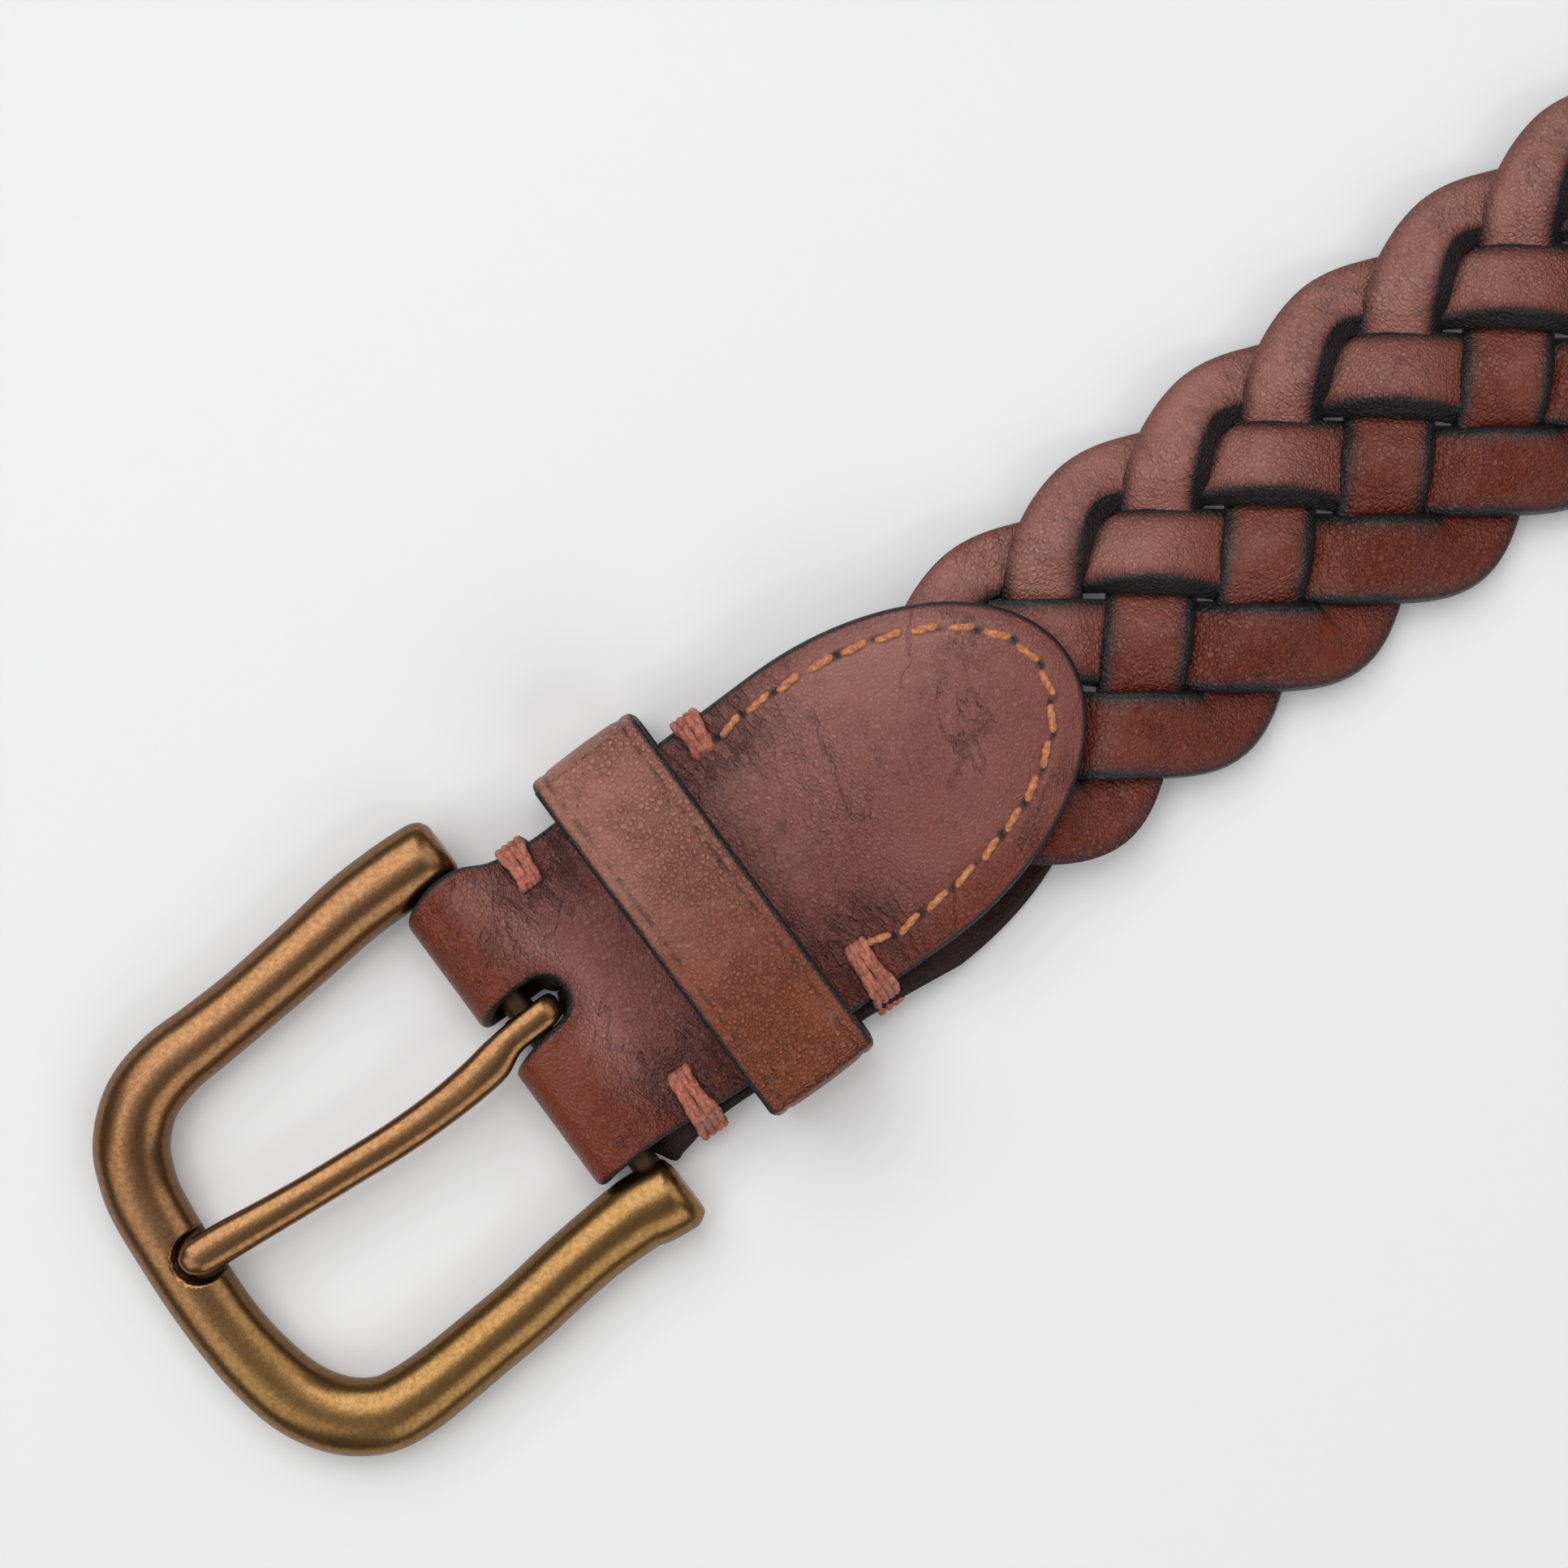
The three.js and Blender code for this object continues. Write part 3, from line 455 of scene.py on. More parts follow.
def buckle_frame():
    """The cast frame: one oval bar bent to a D, its heels rounded and flared, with the prong's seat."""
    line = spline(FRAME_LINE, 1200)
    along = length_along(line)
    total = along[-1]
    notch_at = along[np.argmin(np.hypot(line[:, 0] - FRAME_TIP_X, line[:, 1] - NOTCH[1]))]
    coarse = np.arange(3, total - 3, 0.5)
    coarse = coarse[np.abs(coarse - notch_at) > 4.5]
    dense = np.arange(notch_at - 4.5, notch_at + 4.5, 0.1)
    ends = np.array([0, 0.04, 0.12, 0.25, 0.4, 0.6, 0.85, 1.2, 1.6, 2.1, 2.6])
    stations = np.sort(np.concatenate([ends, total - ends, coarse, dense]))
    line = at_lengths(line, along, stations)
    path = np.column_stack([line[:, 0], line[:, 1],
                            lerp(HEEL_Z, FRAME_HEIGHT / 2, np.clip(line[:, 0] / FRAME_TIP_X, 0, 1))])
    _, side, up = frames_along(path)
    sides = 72
    across, over = rounded_section(sides, 0.9, 0.94)
    width, height = line[:, 2], np.full(len(line), FRAME_HEIGHT)
    for left, (corner, dome) in ((stations, LEFT_HEEL), (total - stations, RIGHT_HEEL)):
        width = width * lerp(0.6, 1, np.sqrt(1 - (1 - np.clip(left / corner, 0, 1)) ** 2))
        height = height * lerp(0.3, 1, np.sqrt(1 - (1 - np.clip(left / dome, 0, 1)) ** 2))
    points = (path[:, None] + (width[:, None] / 2 * across)[..., None] * side[:, None]
              + (height[:, None] / 2 * over)[..., None] * up[:, None]).reshape(-1, 3)

    # the seat: everything above its floor sinks, within a rounded pocket open to the inside
    from_middle = np.where(points[:, 0] < NOTCH[0],
                           np.hypot(points[:, 0] - NOTCH[0], points[:, 1] - NOTCH[1]),
                           np.abs(points[:, 1] - NOTCH[1]))
    inside = 1 - smooth(from_middle, NOTCH_R - 0.45, NOTCH_R)
    inside = inside * (points[:, 2] > FRAME_HEIGHT / 2)
    points[:, 2] = lerp(points[:, 2], np.minimum(points[:, 2], NOTCH_FLOOR), inside)
    # darker side walls of the frame, besides the patination in the seat
    flank = smooth(np.tile(np.abs(across), len(path)), 0.8, 0.98)
    patina_and_shade = np.maximum(smooth(inside, 0.05, 0.6), 0.4 * flank)

    reach = np.linspace(*BAR_ENDS, BAR_RINGS)
    bar_path = np.column_stack([-np.sin(BUCKLE_SKEW) * reach, np.cos(BUCKLE_SKEW) * reach + HEEL[1],
                                np.full(BAR_RINGS, HEEL_Z)])
    turn = np.arange(24) * 2 * math.pi / 24
    ring = np.column_stack([np.cos(turn) * np.cos(BUCKLE_SKEW), np.cos(turn) * np.sin(BUCKLE_SKEW),
                            np.sin(turn)])
    bar = (bar_path[:, None] + BAR_R * ring[None]).reshape(-1, 3)
    faces = tube_faces(len(path), sides) + tube_faces(BAR_RINGS, 24, offset=len(points))
    # painted shade: the bar inside the leather fold is dark all over
    patina_and_shade = np.concatenate([patina_and_shade, np.ones(len(bar))])
    return make_object("buckle_frame_cast", np.vstack([points, bar]), faces, BRASS, {"patina_and_shade": patina_and_shade})


PRONG_LINE = [
    (-2.6, 1.65, 7.05, 3.3), (-5.0, 1.0, 7.0, 4.2), (-7.9, 0.6, 6.8, 4.15), (-12.5, 0.35, 6.45, 3.95),
    (-18, 0.45, 6.25, 3.85), (-23, 0.85, 6.25, 3.8), (-28, 1.3, 6.4, 3.8), (-33, 1.85, 6.6, 3.95),
    (-38, 2.45, 6.75, 4.2), (-41.2, 2.75, 6.8, 4.1), (-43.45, 2.95, 6.75, 3.4),
]
EYE_THICK = 1.7
SHANK_THICK = 2.6
NOSE_LENGTH = 2.0
EYE_Y = 2.0
PRONG_EYE = [
    (-2.2, EYE_Y, 2.7, 2.9), (-1.1, EYE_Y, 1.85, 2.9), (0.4, EYE_Y, 1.7, 2.9), (1.9, EYE_Y, 2.35, 2.9),
    (2.6, EYE_Y, 3.8, 2.8), (2.8, EYE_Y, 5.4, 2.8), (2.7, EYE_Y, 6.5, 2.9), (2.2, 1.9, 7.05, 3.1),
    (1.2, 1.85, 7.25, 3.2), (-0.8, 1.8, 7.2, 3.2),
]


def prong():
    """The prong: a flat eye round the bar, running out into an oval, gently waved shank."""
    line = spline(PRONG_EYE + PRONG_LINE, 340)
    path, width = line[:, :3], line[:, 3]
    tangent = np.gradient(path, axis=0)
    tangent[:, 1] = 0
    tangent /= np.linalg.norm(tangent, axis=1)[:, None]
    up = np.cross(tangent, [0, 1, 0])
    radial = path - np.array([0, EYE_Y, HEEL_Z])
    radial[:, 1] = 0
    up *= np.sign(np.sum(up * radial, axis=1))[:, None]
    steps = length_along(path)
    left = steps[-1] - steps
    nose = np.sqrt(1 - (1 - np.clip(left / NOSE_LENGTH, 0, 1)) ** 2)
    thick = lerp(EYE_THICK, SHANK_THICK, smooth(-path[:, 0], 0, 8)) * lerp(0.25, 1, nose)
    width = width * lerp(0.18, 1, nose)
    sides = 28
    across, over = rounded_section(sides, 0.8, 0.85)
    points = (path[:, None] + (width[:, None] / 2 * across)[..., None] * np.array([0, -1.0, 0])
              + (thick[:, None] / 2 * over)[..., None] * up[:, None]).reshape(-1, 3)
    # painted shade on the eye, where it sits inside the leather fold
    patina_and_shade = np.repeat(0.85 * (1 - smooth(steps, 6.5, 9.5)), sides)
    return make_object("prong_cast", points, tube_faces(len(path), sides), BRASS, {"patina_and_shade": patina_and_shade})


# ---- flat leather ----

EDGE_STEPS = np.array([0, 0.06, 0.16, 0.3, 0.48, 0.7, 0.95, 1.25, 1.6])
CORNER = 0.8


def columns(low, high, inner):
    """Stations across a sheet, crowded towards both of its edges."""
    width = high - low
    edge = EDGE_STEPS * min(1.0, width / 4.5)
    middle = np.linspace(edge[-1], width - edge[-1], inner + 2)[1:-1]
    return low + np.concatenate([edge, middle, (width - edge)[::-1]])


def edge_height(distance):
    """Half the leather's thickness at a distance from its rounded edge."""
    near = 1 - np.clip(distance / CORNER, 0, 1)
    return LEATHER / 2 - CORNER + CORNER * np.sqrt(1 - near**2)


def strip_grid(stations, low, high, inner):
    """Rows of points across one strip: station index and y of each, rows x columns."""
    rows = [columns(a, b, inner) for a, b in zip(low, high)]
    return np.array(rows), np.tile(np.arange(len(stations))[:, None], (1, len(rows[0])))


def sheet_faces(rows, count, offset, open_low, open_high):
    """Top, bottom and side walls of one strip whose top and bottom grids follow each other."""
    faces = []
    bottom = offset + rows * count
    for i in range(rows - 1):
        for j in range(count - 1):
            a = offset + i * count + j
            b = bottom + i * count + j
            faces.append((a, a + 1, a + count + 1, a + count))
            faces.append((b, b + count, b + count + 1, b + 1))
        for j, is_open in ((0, open_low[i]), (count - 1, open_high[i])):
            if is_open:
                a = offset + i * count + j
                b = bottom + i * count + j
                faces.append((a, a + count, b + count, b))
    return faces


# ---- chape ----

FOLD_X = -0.45
FOLD_R = 2.0
PINCH = 0.2
TONGUE_X = 39.0
TONGUE_CROWN = 0.6
# how deep the tacks, the folds round them and the stitches press into the upper layer
TACK_DEPTH, FOLD_DEPTH, STITCH_DEPTH = 0.6, 0.10, 0.22
# the slot for the prong: its round end starts at SLOT_ROUND and closes at SLOT_END
SLOT_ROUND = 2.15
SLOT_MIDDLE = 2.85
SLOT_HALF = 2.62
SLOT_END = 4.85
# share of the slot's left half that is open in the lower layer
LOWER_SLOT = 0.4

UPPER_HIGH = [(-6, 18.0), (-1.5, 18.9), (1, 19.3), (3.5, 19.0), (6, 17.8), (9, 17.2), (20, 17.2), (39, 17.2)]
UPPER_LOW = [(-6, -16.4), (-1, -15.7), (4, -15.6), (8, -16.1), (20, -16.8), (39, -16.9)]
LOWER_HIGH = [(-6, 16.8), (8, 15.6), (20, 15.1), (39, 14.8)]
LOWER_LOW = [
    (-6, -16.9), (2.4, -17.0), (3.3, -18.5), (4.5, -18.3), (7, -17.8), (20, -18.0), (28, -18.3), (34, -19.0),
    (39, -19.7),
]
UPPER_MIDDLE = 0.15
UPPER_HALF = 17.05
LOWER_SHORTER = 1.5
LOWER_MIDDLE = -2.45
LOWER_HALF = 17.25
SLOT_HIGH = [(-4.4, 3.55), (-3.8, 4.2), (-2.8, 4.85), (-0.8, 5.35), (2.15, 5.47)]
SLOT_LOW = [(-4.4, -1.85), (-3.8, -1.4), (-2.8, -0.85), (-0.3, -0.15), (2.15, 0.23)]


def half_gap(x):
    return np.where(x < 20, lerp(FOLD_R, PINCH, smooth(x, 1.2, 7.5)),
                    lerp(PINCH, SANDWICH, smooth(x, 33.5, 46)))


def layer_edge(table, x, centre, half, length, side):
    """An edge of one layer: a drawn front part, then the tongue's half ellipse."""
    t = np.clip((x - TONGUE_X) / length, 0, 1)
    round_part = centre + side * half * np.sqrt(1 - t**2)
    return np.where(x < TONGUE_X, smooth_table(table, np.minimum(x, TONGUE_X)), round_part)


def slot_edge(table, x, side):
    t = np.clip((x - SLOT_ROUND) / (SLOT_END - SLOT_ROUND), 0, 1)
    round_part = SLOT_MIDDLE + side * SLOT_HALF * np.sqrt(1 - t**2)
    edge = np.where(x < SLOT_ROUND, smooth_table(table, np.minimum(x, SLOT_ROUND)), round_part)
    return np.where(x >= SLOT_END, SLOT_MIDDLE, edge)


TACKS = {
    "tack_near_left": (8.9, 13.2, 17.3, 15.4), "tack_near_right": (8.9, -11.0, -16.2, -17.8),
    "tack_far_left": (31.1, 13.5, 17.2, 15.0), "tack_far_right": (31.2, -11.2, -16.6, -18.2),
}


def tack_pull(x, y):
    """How strongly a point of the chape is pulled down by the nearest tack, from 0 to 1."""
    pull = np.zeros_like(x)
    for tack_x, inner, outer, _ in TACKS.values():
        along = np.clip(y, min(inner, outer), max(inner, outer))
        away = np.hypot((x - tack_x) / 1.3, y - along)
        pull = np.maximum(pull, np.exp(-(away / 2.4) ** 2))
    return pull


def tack_ripples(x, y):
    """Small folds in the leather that run in towards the tacks."""
    ripple = np.zeros_like(x)
    for number, (tack_x, inner, _, _) in enumerate(TACKS.values()):
        away = np.hypot(x - tack_x, y - inner)
        angle = np.arctan2(y - inner, x - tack_x)
        wave = np.sin(7 * angle + number + 0.5 * away) + 0.8 * np.sin(13 * angle + 2 * number - 0.8 * away)
        wave = wave * (0.6 + 0.4 * np.sin(3 * angle + 5 * number))
        ripple += wave * np.exp(-(away / 5.5) ** 2) * smooth(away, 0.6, 2.5)
    return ripple


def tack_gather(x, y):
    """How gathered the leather is: strongest beside the tacks, fading over a centimetre."""
    gather = np.zeros_like(x)
    for tack_x, inner, outer, _ in TACKS.values():
        along = np.clip(y, min(inner, outer), max(inner, outer))
        away = np.hypot((x - tack_x - 1.5) / 1.6, y - along)
        gather = np.maximum(gather, np.exp(-(away / 3.4) ** 2))
    return gather


# the seam's arc inside the tongue's edge: how far it reaches, its middle and half its width
SEAM_REACH, SEAM_MIDDLE, SEAM_HALF = 24.6, 0.9, 13.5
STITCH = 3.75


def head_seam_path():
    """The seam line inside the tongue's edge, from one far tack to the other."""
    turns = np.radians(np.linspace(90, -90, 60))
    arc = [(TONGUE_X + SEAM_REACH * math.cos(a), SEAM_MIDDLE + SEAM_HALF * math.sin(a)) for a in turns]
    return spline([(32.7, 14.0), (35, 14.5)] + arc[::4] + [(36.5, -12.9), (33.6, -12.9), (32.3, -11.6)], 600)


def stitch_points(path, pitch):
    along = length_along(path)
    count = round(along[-1] / pitch)
    return at_lengths(path, along, np.linspace(0, along[-1], count + 1))


HEAD_STITCHES = stitch_points(head_seam_path(), STITCH)


def near_points(x, y, spots, radius):
    best = np.full(x.shape, 1e9)
    for spot_x, spot_y in spots:
        best = np.minimum(best, np.hypot(x - spot_x, y - spot_y))
    return np.exp(-(best / radius) ** 2)


def dimples(x, y, spots):
    """1 at the middle of each stitch hole's dimple, fading to 0 round it."""
    return near_points(x, y, spots, 0.75)


def holes(x, y, spots):
    return smooth(near_points(x, y, spots, 0.6), 0.3, 0.75)


def chape():
    """One strip of leather, folded round the bar: lower layer, fold, upper layer with the tongue."""
    length = TONGUE_TIP - TONGUE_X
    tongue = np.sin(np.radians(np.concatenate([np.arange(0, 84, 3.0), np.arange(84, 90.01, 1.0)])))
    slot_round = SLOT_ROUND + (SLOT_END - SLOT_ROUND) * np.sin(np.radians(np.arange(0, 91, 10)))
    flat = np.concatenate([np.linspace(0, 2.0, 6), slot_round, np.arange(5.3, 38.9, 0.42)])
    upper_x = np.concatenate([flat, TONGUE_X + length * tongue])
    lower_x = np.concatenate([flat, TONGUE_X + (length - LOWER_SHORTER) * tongue])
    fold_angle = np.radians(np.linspace(-90, 90, 29)[1:-1])
    mid_r = FOLD_R + LEATHER / 2

    x = np.concatenate([lower_x[::-1], FOLD_X - mid_r * np.cos(fold_angle), upper_x])
    part = np.concatenate([np.full(len(lower_x), -1), np.sin(fold_angle), np.ones(len(upper_x))])
    z = np.where(np.abs(part) == 1, HEEL_Z + part * (half_gap(x) + LEATHER / 2), HEEL_Z + mid_r * part)
    flank = np.gradient(z, x)
    normal = np.column_stack([-flank, np.ones(len(x))]) * np.sign(part)[:, None]
    folded = np.abs(part) < 1
    normal[folded] = np.column_stack([-np.cos(fold_angle), np.sin(fold_angle)])
    normal /= np.linalg.norm(normal, axis=1)[:, None]
    along = np.concatenate([[0], np.cumsum(np.hypot(np.diff(x), np.diff(z)))])

    blend = (part + 1) / 2
    up_low = layer_edge(UPPER_LOW, x, UPPER_MIDDLE, UPPER_HALF, length, -1)
    up_high = layer_edge(UPPER_HIGH, x, UPPER_MIDDLE, UPPER_HALF, length, 1)
    under_low = layer_edge(LOWER_LOW, x, LOWER_MIDDLE, LOWER_HALF, length - LOWER_SHORTER, -1)
    under_high = layer_edge(LOWER_HIGH, x, LOWER_MIDDLE, LOWER_HALF, length - LOWER_SHORTER, 1)
    low = lerp(under_low, up_low, blend)
    high = lerp(under_high, up_high, blend)
    gap_low = slot_edge(SLOT_LOW, x, -1)
    lower_open = 1 - smooth(x, 2.9, 4.0)
    gap_low = lerp(SLOT_MIDDLE, gap_low, lerp(lower_open, 1, blend))
    gap_high = lerp(SLOT_MIDDLE, slot_edge(SLOT_HIGH, x, 1), lerp(LOWER_SLOT * lower_open, 1, blend))
    middle = np.clip(SLOT_MIDDLE, low, high)
    gap_low = np.where(x < SLOT_END, gap_low, middle)
    gap_high = np.where(x < SLOT_END, gap_high, middle)

    outline = np.vstack([np.column_stack([along, low]), np.column_stack([along, high])[::-1],
                         [(along[0], low[0])]])
    slotted = x <= SLOT_END
    slot_line = np.vstack([np.column_stack([along, gap_low])[slotted],
                           np.column_stack([along, gap_high])[slotted][::-1]])

    vertices, faces = [], []
    values = {"edge": [], "burnish_and_shade": [], "painted_sheen": [], "wrinkle": [], "dark": [], "ridged": [], "along": [],
              "across": []}
    offset = 0
    for a, b, inner, side_open in ((low, gap_low, 62, (True, None)), (gap_high, high, 50, (None, True))):
        grid_y, index = strip_grid(x, a, b, inner)
        rows, count = grid_y.shape
        flat_y, flat_i = grid_y.ravel(), index.ravel()
        spot = np.column_stack([along[flat_i], flat_y])
        distance = np.minimum(distance_to(spot, outline), distance_to(spot, slot_line))
        px, pz, n = x[flat_i], z[flat_i], normal[flat_i]
        layer = part[flat_i]
        half = edge_height(distance)
        is_upper = np.clip(layer, 0, 1)
        pull = tack_pull(px, flat_y)
        shift = -is_upper * pull * TACK_DEPTH
        shift = shift + is_upper * FOLD_DEPTH * tack_ripples(px, flat_y)
        shift = shift - is_upper * STITCH_DEPTH * dimples(px, flat_y, HEAD_STITCHES)
        belly = 0.14 * np.sin(px / 3.1 + 1.1) * np.sin(flat_y / 4.3 + 0.4)
        belly = belly + 0.1 * np.sin(px / 7.3 - flat_y / 5.7)
        crown = 1.0 - (flat_y / 18) ** 2
        shift = shift + is_upper * (belly + TONGUE_CROWN * crown * smooth(px, 9, 24)) * smooth(distance, 0, 3)
        shift = np.where(layer < 0, np.minimum(0, shift), shift)
        hole = is_upper * holes(px, flat_y, HEAD_STITCHES)
        for sign in (1, -1):
            lift = sign * half + shift
            points = np.column_stack([px + n[:, 0] * lift, flat_y, pz + n[:, 1] * lift])
            vertices.append(points)
            face_side = sign > 0
            values["edge"].append(1 - smooth(distance, 0.08, 0.8))
            # warm tone: burnish at the fold's front and nose, and painted shade towards the lower side
            # (below)
            front = 1 - smooth(px, 0.0, 7.0)
            below = 1 - smooth(flat_y, -17, -9)
            nose = 1 - smooth(px, -1.6, 0.3)
            burnish_and_shade = 0.9 * front * (1 - 0.5 * smooth(flat_y, 2, 16)) + 0.8 * below + nose
            values["burnish_and_shade"].append(np.clip(burnish_and_shade, 0, 1))
            # painted highlight across the fold's bend, and painted sheen on the tongue's upper side
            bend = np.exp(-((px - 3.6 + 0.08 * flat_y) / 3.2) ** 2)
            bend = bend * smooth(flat_y, -18, 5) * smooth(px, -0.8, 1.6)
            lit = 0.62 * smooth(flat_y, -6, 15) * smooth(px, 20, 34) + 1.2 * bend
            values["painted_sheen"].append(np.clip(lit * smooth(distance, 0.4, 3.0), 0, 1))
            # gathered leather by the tacks, darkened with painted shade
            values["wrinkle"].append(np.clip(1.6 * tack_gather(px, flat_y), 0, 1))
            # painted shade: the layers' inner faces near black, and the stitch holes dark
            values["dark"].append(hole if face_side else np.full_like(px, 0.92))
            values["ridged"].append(0.25 * front)
            values["along"].append(along[flat_i])
            values["across"].append(flat_y)
        slot_open = (gap_high - gap_low)[:-1] > 1e-6
        open_low = np.full(rows - 1, True) if side_open[0] else slot_open
        open_high = np.full(rows - 1, True) if side_open[1] else slot_open
        faces += sheet_faces(rows, count, offset, open_low, open_high)
        offset += 2 * rows * count
    vertices = np.vstack(vertices)
    vertices[:, 2] = np.maximum(vertices[:, 2], 0.02)
    values = {key: np.concatenate(value) for key, value in values.items()}
    return make_object("chape_leather", vertices, faces, CHAPE_LEATHER, values, weld=0.004)


# ---- keeper ----

def keeper():
    """A closed band of leather with a pressed line along each edge."""
    low_y, high_y, top = KEEPER_LOW[1], KEEPER_HIGH[1], KEEPER_HIGH[2]
    wall = 1.8
    inset = wall / 2
    corner = 2.9
    arcs = []
    for centre_y, centre_z, start in ((high_y - inset - corner, inset + corner, -90),
                                      (high_y - inset - corner, top - inset - corner, 0),
                                      (low_y + inset + corner, top - inset - corner, 90),
                                      (low_y + inset + corner, inset + corner, 180)):
        for angle in np.radians(np.linspace(start, start + 90, 6)):
            arcs.append((centre_y + corner * math.cos(angle), centre_z + corner * math.sin(angle)))
    loop = spline(arcs, 190, closed=True)
    tangent = np.roll(loop, -1, axis=0) - np.roll(loop, 1, axis=0)
    tangent /= np.linalg.norm(tangent, axis=1)[:, None]
    outward = np.column_stack([tangent[:, 1], -tangent[:, 0]])

    width = KEEPER_HIGH[0] - KEEPER_LOW[0]
    stations = columns(0, width, 26)
    distance = np.minimum(stations, width - stations)
    half = wall / 2 - CORNER + CORNER * np.sqrt(1 - (1 - np.clip(distance / CORNER, 0, 1)) ** 2)
    line_inset, line_width = 1.75, 0.22
    crease = np.exp(-((distance - line_inset) / line_width) ** 2)
    crown = 0.22 * np.sin(math.pi * stations / width)
    face = half + crown - 0.2 * crease
    ring_x = np.concatenate([stations, stations[::-1]])
    ring_lift = np.concatenate([face, -half])
    ring_edge = np.concatenate([1 - smooth(distance, 0.1, 0.95), 1 - smooth(distance, 0.1, 0.7)])
    sides = len(ring_x)
    phase = math.pi * (loop[:, 0] - low_y) / (high_y - low_y) - 1.2
    sag = np.where(loop[:, 1] > top / 2, 0.35 * np.cos(phase), 0)
    vertices = np.zeros((len(loop), sides, 3))
    vertices[..., 0] = KEEPER_LOW[0] + ring_x
    vertices[..., 1] = loop[:, 0, None] + outward[:, 0, None] * ring_lift
    vertices[..., 2] = loop[:, 1, None] + outward[:, 1, None] * ring_lift - np.abs(sag)[:, None] * 0.6
    vertices[..., 2] = np.maximum(vertices[..., 2], 0.02)
    # lower part warmer and darker: painted shade; upper part and the lower end's rounded edge paler: painted
    # sheen
    burnish_and_shade = np.clip(0.85 * (1 - smooth(loop[:, 0], -16, 8)), 0, 1)
    painted_sheen = 0.85 * smooth(loop[:, 0], -10, 15) + 0.25 * np.exp(-((loop[:, 0] + 16.5) / 3) ** 2)
    broken = 0.5 + 0.5 * np.sin(1.9 * loop[:, 0] + 2 * np.sin(0.7 * loop[:, 0]))
    line = np.concatenate([crease, np.zeros(len(stations))])
    values = {
        "edge": (ring_edge + lerp(0.25, 0.8, broken)[:, None] * line).ravel(),
        "burnish_and_shade": np.repeat(burnish_and_shade, sides),
        "painted_sheen": np.repeat(painted_sheen, sides),
        "wrinkle": np.full(len(loop) * sides, 0.12),
        # painted shade on the band's inner face
        "dark": np.tile(np.concatenate([np.zeros(len(stations)), np.full(len(stations), 0.8)]), len(loop)),
        "ridged": np.full(len(loop) * sides, 0.28),
        "along": np.repeat(loop[:, 0] + 300, sides),
        "across": np.tile(ring_x, len(loop)),
    }
    return make_object("keeper_band", vertices.reshape(-1, 3), tube_faces(len(loop), sides, loop=True),
                       KEEPER_LEATHER, values)


# ---- tacks and seams ----

def tack(name):
    """Four turns of waxed thread over the strap's edge, in and out of one hole each side."""
    centre_x, inner, outer, under = TACKS[name]
    side = math.copysign(1, inner)
    top = HEEL_Z + PINCH + LEATHER - 0.25
    bottom = HEEL_Z - PINCH - LEATHER + 0.1
    radius = 0.43
    vertices, faces, count = [], [], 0
    for turn in (-1.5, -0.5, 0.5, 1.5):
        near = centre_x + turn * 0.58
        far = centre_x + turn * 0.78
        lean = (0.3 + 0.1 * math.cos(5 * turn)) * side
        edge_y = outer + side * (radius + 0.05)
        under_y = under + side * (radius + 0.05)
        route = [
            (near - lean, inner + side * 0.55, top - 0.9), (near - lean, inner + side * 0.2, top + 0.1),
            (near - lean * 0.5, inner + side * 0.9, top + radius + 0.3 - 0.07 * turn * turn),
            ((near + far) / 2 + 0.15 * math.sin(3 * turn), lerp(inner, outer, 0.6),
             top + radius + 0.3 - 0.06 * turn * turn),
            (far, outer - side * 0.3, top + radius * 0.75), (far, edge_y, top - 0.5),
            (far + lean, (edge_y + under_y) / 2, HEEL_Z - 0.6), (far + lean, under_y, bottom + 0.7),
            (far + lean, under - side * 0.2, bottom - radius * 0.6),
            (near + lean, lerp(inner, under, 0.45), bottom - radius),
            (near + lean, inner + side * 0.6, bottom + 0.4),
        ]
        path = spline(route, 150)
        path[:, 2] = np.maximum(path[:, 2], radius * 1.2)
        points, rings, sides = twisted_tube(path, radius, 3, 4.5, 18)
        vertices.append(points)
        faces += tube_faces(rings, sides, offset=count)
        count += len(points)
    return make_object(name + "_thread", np.vstack(vertices), faces, TACK_THREAD)


def stitch_row(name, spots, surface, closed=False):
    """One thread stitch between each two holes, arching out of one and into the next."""
    vertices, faces, count = [], [], 0
    chooser = random.Random(7)
    pairs = list(zip(spots, np.roll(spots, -1, axis=0))) if closed else list(zip(spots, spots[1:]))
    for a, b in pairs:
        along = (b - a) / np.linalg.norm(b - a)
        across = np.array([-along[1], along[0]])
        slant = chooser.uniform(0.12, 0.24)
        start = a + along * 0.55 - across * slant
        finish = b - along * 0.55 + across * slant
        stations = np.linspace(0, 1, 30)
        path = np.zeros((30, 3))
        path[:, :2] = start + (finish - start) * stations[:, None]
        arch = np.sin(math.pi * stations) ** 0.45
        path[:, 2] = surface(path[:, 0], path[:, 1]) - 0.45 + 0.5 * arch
        points, rings, sides = twisted_tube(path, chooser.uniform(0.37, 0.41), 2, 2.4, 14)
        vertices.append(points)
        faces += tube_faces(rings, sides, offset=count)
        count += len(points)
    return make_object(name, np.vstack(vertices), faces, SEAM_THREAD)


def tongue_top(x, y):
    return HEEL_Z + half_gap(x) + LEATHER + TONGUE_CROWN * (1 - (y / 18) ** 2)


# ---- braid ----

# One strand over one cycle from an upper turn: distance along, distance across, over or under.
STRAND_LINE = [
    (0, 14.2, 0), (9.3, 11.2, -1), (18.4, 4.8, 1), (27.1, -2.2, -1), (35.8, -8.9, 1),
    (44, -13.2, 0), (51.1, -8.9, -1), (57.7, -2.2, 1), (64.3, 4.8, -1), (70.5, 11.2, 1),
]
STEP = 15.3
CYCLE = STRANDS * STEP
FIRST_APEX = 62.15
